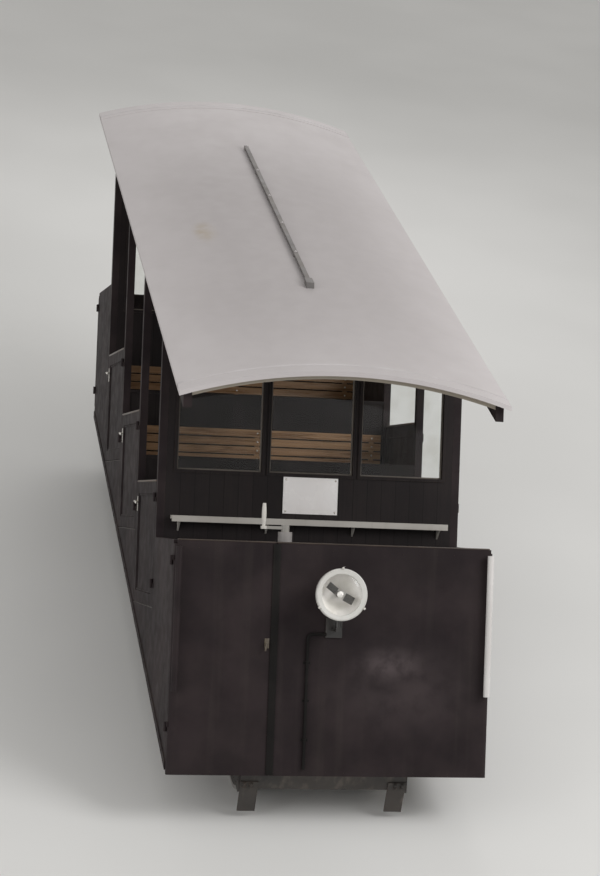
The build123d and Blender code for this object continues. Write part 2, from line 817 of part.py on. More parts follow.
with BuildPart() as ridge:
    bar_length = ridge_high_u - ridge_low_u
    ridge_piece(ridge_low_u, bar_length, ridge_foot, ridge_foot + ridge_thickness, ridge_width)
    ridge_piece(ridge_low_u, ridge_shoe, 0, ridge_shoe_height, ridge_shoe_width)
    for k in range(1, ridge_feet):
        ridge_piece(ridge_low_u + k * foot_pitch, ridge_width, 0, ridge_foot, ridge_width)
save("ridge_bar", ridge)

# Bulkheads: boarded end walls of the compartments, with three windows each, framed by
# sashes that stand proud of both faces. Each row: line, foot, sill.
window_width = (2 * (between_posts - window_margin) - 2 * window_bar) / 3
window_pitch = window_width + window_bar
half_window = window_width / 2
bulkhead_rows = [
    (post_lines[0], lower_floor - floor_thickness, steps[1][2] + sill_rise),
    (post_lines[-1], steps[-2][2] - floor_thickness, upper_floor + upper_sill_rise),
]
for (line, foot, sill), name in zip(bulkhead_rows, ("lower_bulkhead", "upper_bulkhead")):
    head = sill + window_height
    wall_u = (line - half_bulkhead, line + half_bulkhead)
    sash_u = (wall_u[0] - sash_depth, wall_u[1] + sash_depth)
    with BuildPart() as wall:
        board((-between_posts, between_posts), wall_u, (foot, ridge_top + slope * wall_u[1]))
        for middle in (-window_pitch, 0, window_pitch):
            sash_x = (middle - half_window - sash_width, middle + half_window + sash_width)
            board(sash_x, sash_u, (sill - sash_width, head + sash_width))
            board((middle - half_window, middle + half_window), sash_u, (sill, head), Mode.SUBTRACT)
        cut_above_roof()
    save(name, wall)

with BuildPart() as panes:
    for line, foot, sill in bulkhead_rows:
        for middle in (-window_pitch, 0, window_pitch):
            board(
                (middle - half_window + fit_gap, middle + half_window - fit_gap),
                (line - glass_thickness / 2, line + glass_thickness / 2),
                (sill + fit_gap, sill + window_height - fit_gap),
            )
save("bulkhead_glass", panes)

# Ledge board across the lower bulkhead, under the windows, on knee brackets
ledge_rise = 1250
ledge_thickness = 26
ledge_depth = 95
ledge_lip = 20
ledge_lip_drop = 20
ledge_end_gap = 45
ledge_knees = 4
knee_inset = 60
knee_thickness = 12
knee_drop = 90
ledge_back = post_lines[0] - half_bulkhead
ledge_front = ledge_back - ledge_depth
ledge_low = lower_floor + ledge_rise
ledge_half = between_posts - ledge_end_gap
with BuildPart() as ledge:
    board((-ledge_half, ledge_half), (ledge_front, ledge_back), (ledge_low, ledge_low + ledge_thickness))
    lip_u = (ledge_front, ledge_front + ledge_lip)
    board((-ledge_half, ledge_half), lip_u, (ledge_low - ledge_lip_drop, ledge_low))
    knee = [
        (ledge_back, ledge_low),
        (ledge_front + ledge_lip, ledge_low),
        (ledge_front + ledge_lip, ledge_low - ledge_lip),
        (ledge_back, ledge_low - knee_drop),
    ]
    knee_pitch = 2 * (ledge_half - knee_inset) / (ledge_knees - 1)
    for k in range(ledge_knees):
        x = knee_inset - ledge_half + k * knee_pitch
        cut_plate(ALONG.offset(x - knee_thickness / 2), knee, knee_thickness)
save("ledge_board", ledge)

# Partitions between compartments, which back the benches
half_partition = partition_thickness / 2
with BuildPart() as partitions:
    for k in range(1, compartments):
        top = steps[k][2] + seat_back_rise
        wall_u = (post_lines[k] - half_partition, post_lines[k] + half_partition)
        cap_u = (wall_u[0] - cap_overhang, wall_u[1] + cap_overhang)
        board((-between_posts, between_posts), wall_u, (steps[k][2] - floor_thickness, top))
        board((-between_posts, between_posts), cap_u, (top, top + cap_height))
save("partitions", partitions)

# Slatted benches with slatted backs, each on three cast frames
seat_x = between_posts - seat_end_gap
slat_pitch = slat_width + slat_gap
for k in range(1, compartments + 1):
    back = post_lines[k] - (half_partition if k < compartments else half_bulkhead)
    front = back - seat_depth
    floor = steps[k][2]
    seat_low = floor + seat_height - slat_thickness
    with BuildPart() as bench:
        for s in range(int((seat_depth - slat_thickness) // slat_pitch)):
            u = front + s * slat_pitch
            board((-seat_x, seat_x), (u, u + slat_width), (seat_low, seat_low + slat_thickness))
        for s in range(back_slats):
            w = floor + seat_height + back_slat_rise + s * slat_pitch
            board((-seat_x, seat_x), (back - slat_thickness, back), (w, w + slat_width))
        for x in (bench_frame_inset - seat_x, -bench_frame / 2, seat_x - bench_frame_inset - bench_frame):
            leg_low = floor + bench_frame
            leg_high = seat_low - 1.5 * bench_frame
            frame = [
                (back, floor),
                (back, seat_low),
                (front + slat_gap, seat_low),
                (front + slat_gap, seat_low - bench_frame),
                (front + 2 * bench_frame, leg_high),
                (front + 2.5 * bench_frame, leg_low),
                (front + 1.5 * bench_frame, floor),
            ]
            gap = [
                (back - bench_frame, leg_low),
                (back - bench_frame, leg_high),
                (front + 3.2 * bench_frame, leg_high),
                (front + 3.7 * bench_frame, leg_low),
            ]
            cut_plate(ALONG.offset(x), frame, bench_frame)
            cut_plate(ALONG.offset(x), gap, bench_frame, Mode.SUBTRACT)
            back_foot = floor + seat_height + back_slat_rise
            board((x, x + bench_frame), (back - slat_thickness, back), (seat_low, back_foot))
            for s in range(1, back_slats):
                w = back_foot + s * slat_pitch
                board((x, x + bench_frame), (back - slat_thickness / 2, back), (w - slat_gap, w))
    save("bench_%d" % k, bench)


# Side doors, waist high, hung on the post downhill of each opening. Each has a sunk panel
# on both faces.
def side_door(name, k, side):
    """One door of compartment k with its two hinges."""
    low_u = post_lines[k] + half_post + door_gap
    high_u = post_lines[k + 1] - half_post - door_gap
    foot = steps[k + 1][2] + door_gap
    top = steps[k + 1][2] + door_waist
    low_x = half_body - door_thickness if side > 0 else -half_body
    with BuildPart() as door:
        board((low_x, low_x + door_thickness), (low_u, high_u), (foot, top))
        for panel_x in (low_x, low_x + door_thickness - door_panel_depth):
            board(
                (panel_x, panel_x + door_panel_depth),
                (low_u + door_stile, high_u - door_stile),
                (foot + door_stile, top - door_stile),
                Mode.SUBTRACT,
            )
        hinge_u, heights = door_hinges[k]
        for w in heights:
            swinging_hinge(side, hinge_u, w, 1)
    save(name, door)


for k in range(compartments):
    side_door("door_%d_left" % (k + 1), k, -1)
    side_door("door_%d_right" % (k + 1), k, 1)


# Aprons at both ends: a fixed panel, and on the left a gate hung at the corner. Both are
# sheets on frames that show inside, with rounded outer corners and caps.
def apron_leaf(x, low_u, face, foot, top, outer):
    """One leaf of an apron; face is -1 downhill and 1 uphill, outer the side it ends at."""
    high_u = low_u + apron_thickness
    pocket_u = (low_u + apron_skin, high_u) if face < 0 else (low_u, high_u - apron_skin)
    round_x = x[0] if outer < 0 else x[1]
    round_u = low_u if face < 0 else high_u
    with BuildSketch(LEVEL.offset(foot)) as outline:
        with Locations(((x[0] + x[1]) / 2, (low_u + high_u) / 2)):
            Rectangle(x[1] - x[0], apron_thickness)
        outer_corner = outline.vertices().sort_by_distance(Vector(round_x, round_u, 0))[0]
        fillet(outer_corner, radius=apron_corner)
    extrude(outline.sketch, amount=top - foot)
    middle = (x[0] + x[1]) / 2
    for pocket_x in (
        (x[0] + apron_frame, middle - apron_frame / 2),
        (middle + apron_frame / 2, x[1] - apron_frame),
    ):
        board(pocket_x, pocket_u, (foot + apron_frame, top - apron_frame), Mode.SUBTRACT)
    cap_x = (x[0] + apron_corner, x[1]) if outer < 0 else (x[0], x[1] - apron_corner)
    board(cap_x, (low_u, high_u), (top, top + cap_height))


gate_high = gate_width - half_body
upper_apron_u = body_length - apron_thickness
upper_foot = foot_height + slope * body_length
with BuildPart() as aprons:
    panel_x = (gate_high + gate_gap, half_body)
    apron_leaf(panel_x, 0, -1, foot_height, lower_apron_top, 1)
    apron_leaf(panel_x, upper_apron_u, 1, upper_foot, upper_apron_top, 1)
save("aprons", aprons)

gate_rows = [
    ("lower_gate", 0, -1, foot_height, lower_apron_top),
    ("upper_gate", upper_apron_u, 1, upper_foot, upper_apron_top),
]
for (name, low_u, face, foot, top), (hinge_u, heights, way) in zip(gate_rows, gate_hinges):
    with BuildPart() as gate:
        apron_leaf((-half_body, gate_high), low_u, face, foot, top, -1)
        for w in heights:
            swinging_hinge(-1, hinge_u, w, way)
    save(name, gate)

# Grab poles at the corners of the aprons, on two brackets each. The left ones are fixed to
# the gates. Each row: name of the node, and side and end of each of its poles.
pole_radius = 23
pole_stand_off = 38
pole_inset = 28
pole_foot_rise = 40
pole_bracket = 16
pole_bracket_inset = 75
pole_rows = [
    ("corner_poles_right", [(1, -1), (1, 1)]),
    ("corner_pole_lower_left", [(-1, -1)]),
    ("corner_pole_upper_left", [(-1, 1)]),
]
for name, poles in pole_rows:
    with BuildPart() as grab:
        for side, end in poles:
            face_u = 0 if end < 0 else body_length
            u = face_u + end * pole_stand_off
            x = side * (half_body - pole_inset)
            foot = (lower_floor if end < 0 else upper_floor) + pole_foot_rise
            top = foot + apron_rise - pole_foot_rise - pole_bracket
            upright_rod(x, u, (foot, top), pole_radius)
            for w in (foot + pole_bracket_inset, top - pole_bracket_inset):
                bracket_x = (x - pole_bracket / 2, x + pole_bracket / 2)
                board(bracket_x, sorted((face_u, u)), (w - pole_bracket, w + pole_bracket))
    save(name, grab)

# Headlamp on a stalk before the lower apron: a turned bowl, a bezel ring and a domed lens,
# turned about the level axis through the lamp
lamp_rise = 760
lamp_radius = 178
lamp_depth = 150
lamp_back_gap = 60
lamp_wall = 8
bowl_shoulder = 0.74
bowl_shoulder_depth = 0.34
bezel_width = 30
bezel_depth = 22
bezel_edge = 8
lens_dome = 26
lens_thickness = 8
stalk_radius = 20
stalk_drop = 60
stalk_rise = 90
lamp_plate = 12
lamp_w = lower_floor + lamp_rise
lamp_front = lamp_back_gap + lamp_depth
lamp_centre = LEVEL.from_local_coords(Vector(0, 0, lamp_w))
# Level plane through the lamp's middle: local x is X, local y the distance before the apron.
BEFORE = Plane(origin=lamp_centre, x_dir=(1, 0, 0), z_dir=(0, -rise_y, -run_y))
lamp_axis = Axis(lamp_centre, (0, -run_y, rise_y))
bezel_inner = lamp_radius - bezel_width
with BuildPart() as lamp:
    with BuildSketch(BEFORE) as bowl:
        with BuildLine():
            inner = lamp_radius - lamp_wall
            shoulder = lamp_back_gap + bowl_shoulder_depth * lamp_depth
            rim = (lamp_radius, lamp_front)
            ThreePointArc((0, lamp_back_gap), (bowl_shoulder * lamp_radius, shoulder), rim)
            Line(rim, (inner, lamp_front))
            hollow_back = (0, lamp_back_gap + lamp_wall)
            ThreePointArc((inner, lamp_front), (bowl_shoulder * inner, shoulder + lamp_wall), hollow_back)
            Line(hollow_back, (0, lamp_back_gap))
        make_face()
    revolve(bowl.sketch, axis=lamp_axis)
    stalk_u = -(lamp_back_gap + lamp_depth / 2)
    stalk_foot = lamp_w - lamp_radius - stalk_drop
    upright_rod(0, stalk_u, (stalk_foot, stalk_foot + stalk_rise), stalk_radius)
    board(
        (-stalk_radius, stalk_radius),
        (stalk_u - stalk_radius, -lamp_plate),
        (stalk_foot - 1.5 * stalk_radius, stalk_foot),
    )
    board(
        (-3 * stalk_radius, 3 * stalk_radius),
        (-lamp_plate, 0),
        (stalk_foot - 4 * stalk_radius, stalk_foot + 3 * stalk_radius),
    )
save("headlamp_body", lamp)

with BuildPart() as bezel:
    with BuildSketch(BEFORE) as ring:
        with BuildLine():
            outer = lamp_radius + bezel_edge
            Polyline(
                (lamp_radius + fit_gap, lamp_front - bezel_depth),
                (outer, lamp_front - bezel_depth),
                (outer, lamp_front + bezel_edge),
                (lamp_radius, lamp_front + 2 * bezel_edge),
                (bezel_inner, lamp_front + bezel_edge),
                (bezel_inner, lamp_front),
                (lamp_radius + fit_gap, lamp_front),
                close=True,
            )
        make_face()
    revolve(ring.sketch, axis=lamp_axis)
save("headlamp_bezel", bezel)

lens_edge = bezel_inner - fit_gap
dome_radius = (lens_edge ** 2 + lens_dome ** 2) / (2 * lens_dome)
dome_turn = degrees(asin(lens_edge / dome_radius))
with BuildPart() as lens:
    with BuildSketch(BEFORE) as dome:
        with BuildLine():
            rim = lamp_radius - 2 * lamp_wall
            under = lamp_front - lens_thickness
            centre = lamp_front + lens_dome - dome_radius
            CenterArc((0, centre - lens_thickness), dome_radius, 90, -dome_turn)
            Polyline((lens_edge, under), (rim, under), (rim, lamp_front), (lens_edge, lamp_front))
            CenterArc((0, centre), dome_radius, 90, -dome_turn)
            Line((0, lamp_front + lens_dome), (0, under + lens_dome))
        make_face()
    revolve(dome.sketch, axis=lamp_axis)
save("headlamp_glass", lens)

# Hand brakes on both platforms: a turned column, and on it a crank with an upright grip.
# Rows of the column: radius, height above the floor.
column_height = 1185
column_rows = [
    (0, 0),
    (82, 0),
    (82, 18),
    (58, 30),
    (40, 90),
    (30, 700),
    (34, column_height - 140),
    (52, column_height - 110),
    (52, column_height),
    (0, column_height),
]
crank_radius = 160
crank_hub = 30
crank_hub_height = 50
crank_thickness = 22
crank_rise = 18
grip_radius = 17
grip_height = 165
grip_boss = 22
grip_neck = 12
grip_belly_height = 99
column_rises = [(u, seat + floor_thickness) for u, seat in column_places]
with BuildPart() as columns:
    for u, floor in column_rises:
        foot = LEVEL.from_local_coords(Vector(column_x, u, floor))
        with BuildSketch(Plane(origin=foot, x_dir=(1, 0, 0), z_dir=ACROSS.z_dir)) as outline:
            with BuildLine():
                Polyline(*column_rows, close=True)
            make_face()
        revolve(outline.sketch, axis=Axis(foot, LEVEL.z_dir))
save("brake_columns", columns)

with BuildPart() as cranks:
    for u, floor in column_rises:
        low = floor + column_height
        grip_x = column_x - crank_radius
        arm_high = low + crank_rise + crank_thickness
        upright_rod(column_x, u, (low, low + crank_hub_height), crank_hub)
        upright_rod(grip_x, u, (low + crank_rise, arm_high), grip_boss)
        board((grip_x, column_x), (u - grip_radius, u + grip_radius), (low + crank_rise, arm_high))
        foot = LEVEL.from_local_coords(Vector(grip_x, u, arm_high))
        with BuildSketch(Plane(origin=foot, x_dir=(1, 0, 0), z_dir=ACROSS.z_dir)) as grip:
            with BuildLine():
                Line((0, 0), (grip_neck, 0))
                belly = (grip_radius, grip_belly_height)
                ThreePointArc((grip_neck, 0), belly, (grip_neck, grip_height))
                Line((grip_neck, grip_height), (0, grip_height))
                Line((0, grip_height), (0, 0))
            make_face()
        revolve(grip.sketch, axis=Axis(foot, LEVEL.z_dir))
save("brake_cranks", cranks)
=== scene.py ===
import math

import bpy
from mathutils import Matrix, Vector


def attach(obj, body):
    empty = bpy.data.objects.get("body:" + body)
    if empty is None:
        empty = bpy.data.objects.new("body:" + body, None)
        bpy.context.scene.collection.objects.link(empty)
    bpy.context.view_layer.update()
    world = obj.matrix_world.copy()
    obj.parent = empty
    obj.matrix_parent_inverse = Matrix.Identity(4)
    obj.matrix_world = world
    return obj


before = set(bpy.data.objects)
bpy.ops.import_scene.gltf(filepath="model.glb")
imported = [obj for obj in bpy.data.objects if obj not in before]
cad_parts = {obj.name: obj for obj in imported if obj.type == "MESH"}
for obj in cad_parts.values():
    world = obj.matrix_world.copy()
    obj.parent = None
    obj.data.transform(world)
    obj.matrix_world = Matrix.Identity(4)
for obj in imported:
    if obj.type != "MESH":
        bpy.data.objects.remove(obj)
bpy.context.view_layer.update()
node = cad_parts

# The view. The car stands on a steep line and its coachwork stays upright, so in the part's
# frame it leans by the grade. The camera is where the photographer stood, lower down the line
# and to the left, and looks a little down on the roof.
GRADE = math.radians(27.5)
LEVEL = math.cos(GRADE)
STEEP = math.sin(GRADE)
MIDDLE = 2.5372
TRUE_UP = Vector((0, STEEP, LEVEL))


def on_car(x, along, height):
    """The point at a level distance uphill from the lower apron and an upright height."""
    up_line = along * LEVEL + height * STEEP - MIDDLE
    return Vector((x, up_line, height * LEVEL - along * STEEP))


bpy.context.scene.view_settings.view_transform = "Standard"
bpy.ops.object.select_all(action="DESELECT")

CAMERA_PLACE = Vector((-3.526, -14.752, 9.012))
LOOK_AHEAD = Vector((0.33568, 0.76882, -0.54428))
LOOK_RIGHT = Vector((0.94189, -0.28181, 0.18284))
LOOK_UP = Vector((0.01281, 0.57403, 0.81874))
CAR_IN_PHOTO = (-74, 95)
PHOTO_FOCUS = 567.3
LENS = 88

to_car = LOOK_AHEAD * PHOTO_FOCUS + LOOK_RIGHT * CAR_IN_PHOTO[0] + LOOK_UP * CAR_IN_PHOTO[1]
to_car.normalize()
across = (LOOK_RIGHT - to_car * LOOK_RIGHT.dot(to_car)).normalized()
turned = Matrix((across, across.cross(to_car), -to_car)).transposed()
bpy.ops.object.camera_add(location=CAMERA_PLACE)
camera = bpy.context.object
camera.name = "photographer"
camera.matrix_world = Matrix.Translation(CAMERA_PLACE) @ turned.to_4x4()
camera.data.lens = LENS
camera.data.clip_end = 200
bpy.context.scene.camera = camera


# Studio. A pale floor without a horizon near the car, a large soft lamp up on the right, as
# the sun stands in the photograph, weak ones on the left and behind, and a pale surround.
def feed(tree, item, inputs):
    """Gives a shader node its inputs, each a value or another node's socket."""
    for name, value in inputs.items():
        if isinstance(value, bpy.types.NodeSocket):
            tree.links.new(value, item.inputs[name])
        else:
            item.inputs[name].default_value = value


def shade(tree, kind, inputs=None, **settings):
    """A shader node with its settings and inputs."""
    made = tree.nodes.new(kind)
    for name, value in settings.items():
        setattr(made, name, value)
    feed(tree, made, inputs or {})
    return made


def lay(tree, place, **how):
    """The place on the object turned or stretched."""
    return shade(tree, "ShaderNodeMapping", {"Vector": place, **how}).outputs[0]


def noise(tree, place, scale, detail, **more):
    """Cloudy patches over the surface, the finer the higher the scale."""
    wanted = {"Vector": place, "Scale": scale, "Detail": detail, **more}
    return shade(tree, "ShaderNodeTexNoise", wanted).outputs[0]


def blend(tree, mask, *colours):
    """One colour laid over another where the mask is white."""
    first, second = [(*one, 1) if isinstance(one, tuple) else one for one in colours]
    return shade(tree, "ShaderNodeMix", {0: mask, 6: first, 7: second}, data_type="RGBA").outputs[2]


def span(tree, value, low, high, start=0.0, end=1.0):
    """A value stretched from one range to another, with soft ends."""
    wanted = {"Value": value, "From Min": low, "From Max": high, "To Min": start, "To Max": end}
    return shade(tree, "ShaderNodeMapRange", wanted, interpolation_type="SMOOTHSTEP").outputs[0]


def sums(tree, operation, first, second=0.0, clamp=True):
    """One step of arithmetic, kept between 0 and 1 where it makes a mask."""
    wanted = {0: first, 1: second}
    return shade(tree, "ShaderNodeMath", wanted, operation=operation, use_clamp=clamp).outputs[0]


def product(tree, mask, *others):
    """A mask that is white only where all the masks are."""
    for other in others:
        mask = sums(tree, "MULTIPLY", mask, other)
    return mask


def new_finish(name):
    """An empty material with its shader and the place on the object it reads."""
    made = bpy.data.materials.new(name)
    made.use_nodes = True
    tree = made.node_tree
    tree.nodes.clear()
    surface = tree.nodes.new("ShaderNodeBsdfPrincipled")
    out = tree.nodes.new("ShaderNodeOutputMaterial")
    tree.links.new(surface.outputs[0], out.inputs["Surface"])
    place = tree.nodes.new("ShaderNodeTexCoord").outputs["Object"]
    return made, tree, surface, place


FLOOR_LEVEL = -0.026
bpy.ops.mesh.primitive_plane_add(size=160, location=(0, 0, FLOOR_LEVEL))
studio_floor = bpy.context.object
studio_floor.name = "studio_floor"
floor_finish, tree, surface, place = new_finish("studio_floor")
tone = span(tree, noise(tree, place, 0.35, 2.0), 0.3, 0.7)
pale = blend(tree, tone, (0.74, 0.735, 0.72), (0.78, 0.775, 0.76))
feed(tree, surface, {"Base Color": pale, "Roughness": 0.9})
studio_floor.data.materials.append(floor_finish)

SURROUND = (1.0, 0.99, 0.97, 1)
world = bpy.data.worlds.new("studio")
bpy.context.scene.world = world
world.use_nodes = True
tree = world.node_tree
tree.nodes.clear()
ray = tree.nodes.new("ShaderNodeLightPath")
seen = sums(tree, "ADD", ray.outputs["Is Camera Ray"], ray.outputs["Is Glossy Ray"])
seen = sums(tree, "ADD", seen, ray.outputs["Is Transmission Ray"])
strength = shade(tree, "ShaderNodeMix", {0: seen, 2: 0.5, 3: 0.85}).outputs[0]
light = shade(tree, "ShaderNodeBackground", {"Color": SURROUND, "Strength": strength})
out = tree.nodes.new("ShaderNodeOutputWorld")
tree.links.new(light.outputs[0], out.inputs[0])


def soft_lamp(name, place, size, power):
    """A large square lamp that faces the middle of the car."""
    bpy.ops.object.light_add(type="AREA", location=place)
    lamp = bpy.context.object
    lamp.name = name
    lamp.data.shape = "SQUARE"
    lamp.data.size = size
    lamp.data.energy = power
    lamp.rotation_euler = (CAR_MIDDLE - Vector(place)).to_track_quat("-Z", "Y").to_euler()


CAR_MIDDLE = Vector((0, 0.9, 1.4))
soft_lamp("sun_side", (7.5, -4.5, 9.0), 5.0, 560)
soft_lamp("shade_side", (-8.0, -5.0, 4.5), 5.0, 170)
soft_lamp("sky_behind", (2.0, 11.5, 9.0), 6.0, 260)


# Finishes that more than one piece wears. Dust settles on what faces the sky, rain draws
# streaks down the upright faces, and hands and boots rub the paint thin along edges.
def effect(name, amounts, *results):
    """An empty group of shader nodes that reads a place and amounts and gives masks."""
    tree = bpy.data.node_groups.new(name, "ShaderNodeTree")
    tree.interface.new_socket("Place", in_out="INPUT", socket_type="NodeSocketVector")
    for label, value in amounts.items():
        socket = tree.interface.new_socket(label, in_out="INPUT", socket_type="NodeSocketFloat")
        socket.default_value = value
    for label in results:
        tree.interface.new_socket(label, in_out="OUTPUT", socket_type="NodeSocketFloat")
    return tree, tree.nodes.new("NodeGroupInput").outputs, tree.nodes.new("NodeGroupOutput").inputs


dust_effect, given, gives = effect("settled dust", {"Amount": 0.5, "Patch Scale": 3.0}, "Dust")
tree = dust_effect
faces = tree.nodes.new("ShaderNodeNewGeometry").outputs["Normal"]
upward = shade(tree, "ShaderNodeVectorMath", {0: faces, 1: TRUE_UP}, operation="DOT_PRODUCT")
lying = span(tree, upward.outputs["Value"], 0.1, 0.95, 0.12, 1.0)
patches = noise(tree, given["Place"], given["Patch Scale"], 7.0, Roughness=0.65)
broken = span(tree, patches, 0.32, 0.68)
tree.links.new(product(tree, lying, broken, given["Amount"]), gives["Dust"])

streak_effect, given, gives = effect("rain streaks", {"Amount": 0.5}, "Streaks")
tree = streak_effect
DRAWN_LONG = (14, 14, 0.7)
drawn = lay(tree, lay(tree, given["Place"], Rotation=(GRADE, 0, 0)), Scale=DRAWN_LONG)
lines = span(tree, noise(tree, drawn, 1.0, 5.0), 0.5, 0.78)
tree.links.new(product(tree, lines, given["Amount"]), gives["Streaks"])

edge_effect, given, gives = effect("rubbed edges", {"Reach": 0.006, "Amount": 0.5}, "Edge")
tree = edge_effect
rounded = shade(tree, "ShaderNodeBevel", {"Radius": given["Reach"]}, samples=4)
flat = tree.nodes.new("ShaderNodeNewGeometry").outputs["Normal"]
both = {0: rounded.outputs[0], 1: flat}
turn = shade(tree, "ShaderNodeVectorMath", both, operation="DOT_PRODUCT")
near = span(tree, turn.outputs["Value"], 0.995, 0.86)
chipped = span(tree, noise(tree, given["Place"], 26.0, 6.0), 0.42, 0.62)
tree.links.new(product(tree, near, chipped, given["Amount"]), gives["Edge"])


def wear(tree, kind, wanted):
    """One of the shared effects placed in a material."""
    return shade(tree, "ShaderNodeGroup", wanted, node_tree=kind).outputs


ROAD_DUST = (0.23, 0.2, 0.165)


def worn_paint(
    name, colour, faded, rough, bare,
    dust=0.1, streaks=0.0, edges=0.2, bump=0.15, grain=55.0, shine=0.5
):
    """Brushed paint: faded in clouds, dusty, streaked by rain and rubbed at its edges."""
    made, tree, surface, place = new_finish(name)
    clouds = span(tree, noise(tree, place, 2.2, 6.0), 0.35, 0.7)
    colour_now = blend(tree, clouds, colour, faded)
    runs = wear(tree, streak_effect, {"Place": place, "Amount": streaks})[0]
    colour_now = blend(tree, runs, colour_now, ROAD_DUST)
    edge = wear(tree, edge_effect, {"Place": place, "Amount": edges})[0]
    colour_now = blend(tree, edge, colour_now, bare)
    lying = wear(tree, dust_effect, {"Place": place, "Amount": dust})[0]
    colour_now = blend(tree, lying, colour_now, ROAD_DUST)
    matt = sums(tree, "ADD", lying, runs)
    gloss = span(tree, noise(tree, place, 9.0, 5.0), 0.3, 0.7, rough - 0.07, rough + 0.07)
    dulled = shade(tree, "ShaderNodeMix", {0: matt, 2: gloss, 3: 0.85}).outputs[0]
    brush = noise(tree, place, grain, 4.0)
    raised = shade(tree, "ShaderNodeBump", {"Height": brush, "Strength": bump, "Distance": 0.002})
    feed(tree, surface, {"Base Color": colour_now, "Roughness": dulled})
    feed(tree, surface, {"Normal": raised.outputs[0], "Specular IOR Level": shine})
    return made


def reopen(made):
    """The inside of a finish: its tree, its shader and the place on the object it reads."""
    tree = made.node_tree
    surface = next(item for item in tree.nodes if item.type == "BSDF_PRINCIPLED")
    place = next(item for item in tree.nodes if item.type == "TEX_COORD").outputs["Object"]
    return tree, surface, place


def paint_over(tree, surface, mask, colour):
    """Another colour laid over what a finish has, where the mask is white."""
    under = surface.inputs["Base Color"].links[0].from_socket
    tree.links.new(blend(tree, mask, under, colour), surface.inputs["Base Color"])


def dress(material, *names):
    """Gives the named CAD nodes a finish."""
    for name in names:
        cad = node[name]
        if not cad.material_slots:
            cad.data.materials.append(material)
        for slot in cad.material_slots:
            slot.material = material


# Underframe. Two riveted steel side plates cut in steps to carry the floors, with pressed
# cross members and outriggers between and beside them, all in black iron paint under dust,
# oil and brake dirt.
BARE_IRON = (0.14, 0.075, 0.045)
frame_black = worn_paint(
    "frame_black", (0.026, 0.024, 0.023), (0.05, 0.042, 0.037), rough=0.62, dust=0.55,
    streaks=0.35, edges=0.4, bare=BARE_IRON, bump=0.35
)
dress(frame_black, "frame_plates", "cross_members", "outriggers")
dress(frame_black, "rail_guards", "rope_clevis", "brake_rod")


def select_only(*pieces):
    """Picks these pieces and nothing else, the first of them to work on."""
    bpy.ops.object.select_all(action="DESELECT")
    for piece in pieces:
        piece.select_set(True)
    bpy.context.view_layer.objects.active = pieces[0]


def settle(piece, name):
    """Puts a piece's place, turn and size into its mesh."""
    select_only(piece)
    bpy.ops.object.transform_apply(location=True, rotation=True, scale=True)
    piece.name = name
    return piece


def ball(name, radius, segments, rings, middle=(0, 0, 0)):
    """A sphere round a point."""
    bpy.ops.mesh.primitive_uv_sphere_add(
        segments=segments, ring_count=rings, radius=radius, location=middle
    )
    return settle(bpy.context.object, name)


def rod(name, start, end, radius, sides=20):
    """A round length between two points."""
    start, end = Vector(start), Vector(end)
    turn, middle = (end - start).to_track_quat("Z", "Y").to_euler(), (start + end) / 2
    bpy.ops.mesh.primitive_cylinder_add(
        vertices=sides, radius=radius, depth=(end - start).length, location=middle, rotation=turn
    )
    return settle(bpy.context.object, name)


def open_up(piece, chosen):
    """Goes to work on the faces that are chosen by their size or direction."""
    select_only(piece)
    bpy.ops.object.mode_set(mode="EDIT")
    bpy.ops.mesh.select_mode(type="FACE")
    bpy.ops.mesh.select_all(action="DESELECT")
    bpy.ops.object.mode_set(mode="OBJECT")
    for face in piece.data.polygons:
        face.select = chosen(face)
    bpy.ops.object.mode_set(mode="EDIT")


def draw_out(way):
    """Pulls the chosen faces out and leaves walls behind them."""
    bpy.ops.mesh.extrude_region_move(TRANSFORM_OT_translate={"value": way})


def cut_off(point, beyond, fill=True):
    """Cuts away what lies past a point in one direction."""
    bpy.ops.mesh.bisect(plane_co=point, plane_no=beyond, clear_outer=True, use_fill=fill)


def close_up(piece):
    """Ends the work on a piece's faces."""
    bpy.ops.object.mode_set(mode="OBJECT")
    return piece


def raise_face(piece, outward, rim, rise):
    """Leaves a rim round the face that looks one way and draws out what is inside it."""
    open_up(piece, lambda face: face.normal.dot(outward) > 0.9)
    bpy.ops.mesh.inset(thickness=rim)
    draw_out(outward * rise)
    return close_up(piece)


def smooth(piece, degrees):
    """Shades a piece round wherever it turns by less than an angle."""
    select_only(piece)
    bpy.ops.object.shade_smooth_by_angle(angle=math.radians(degrees))
    return piece


def soften(piece, width, segments=2):
    """Takes the sharp corners off a piece."""
    select_only(piece)
    edge = piece.modifiers.new("corners", "BEVEL")
    edge.width = width
    edge.segments = segments
    edge.limit_method = "ANGLE"
    bpy.ops.object.modifier_apply(modifier=edge.name)
    return smooth(piece, 40)


def smaller(pattern, name, scale):
    """A pattern copied at another size."""
    copy = pattern.copy()
    copy.data = pattern.data.copy()
    bpy.context.collection.objects.link(copy)
    copy.scale = scale
    return settle(copy, name)


def weld(name, *pieces):
    """Makes one piece of several."""
    select_only(*pieces)
    bpy.ops.object.join()
    bpy.context.object.name = name
    return bpy.context.object


def set_out(name, pattern, places):
    """Copies of a pattern at each place, its foot there and its axis along the direction."""
    copies = []
    for place, outward in places:
        copy = pattern.copy()
        copy.data = pattern.data.copy()
        bpy.context.collection.objects.link(copy)
        turn = Vector(outward).to_track_quat("Z", "Y").to_matrix().to_4x4()
        copy.matrix_world = Matrix.Translation(place) @ turn
        copies.append(copy)
    select_only(*copies)
    bpy.ops.object.join()
    return settle(bpy.context.object, name)


def fit(piece, finish, body="body"):
    """Gives a new piece its finish and says what it is fixed to."""
    piece.data.materials.clear()
    piece.data.materials.append(finish)
    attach(piece, body)
    return piece


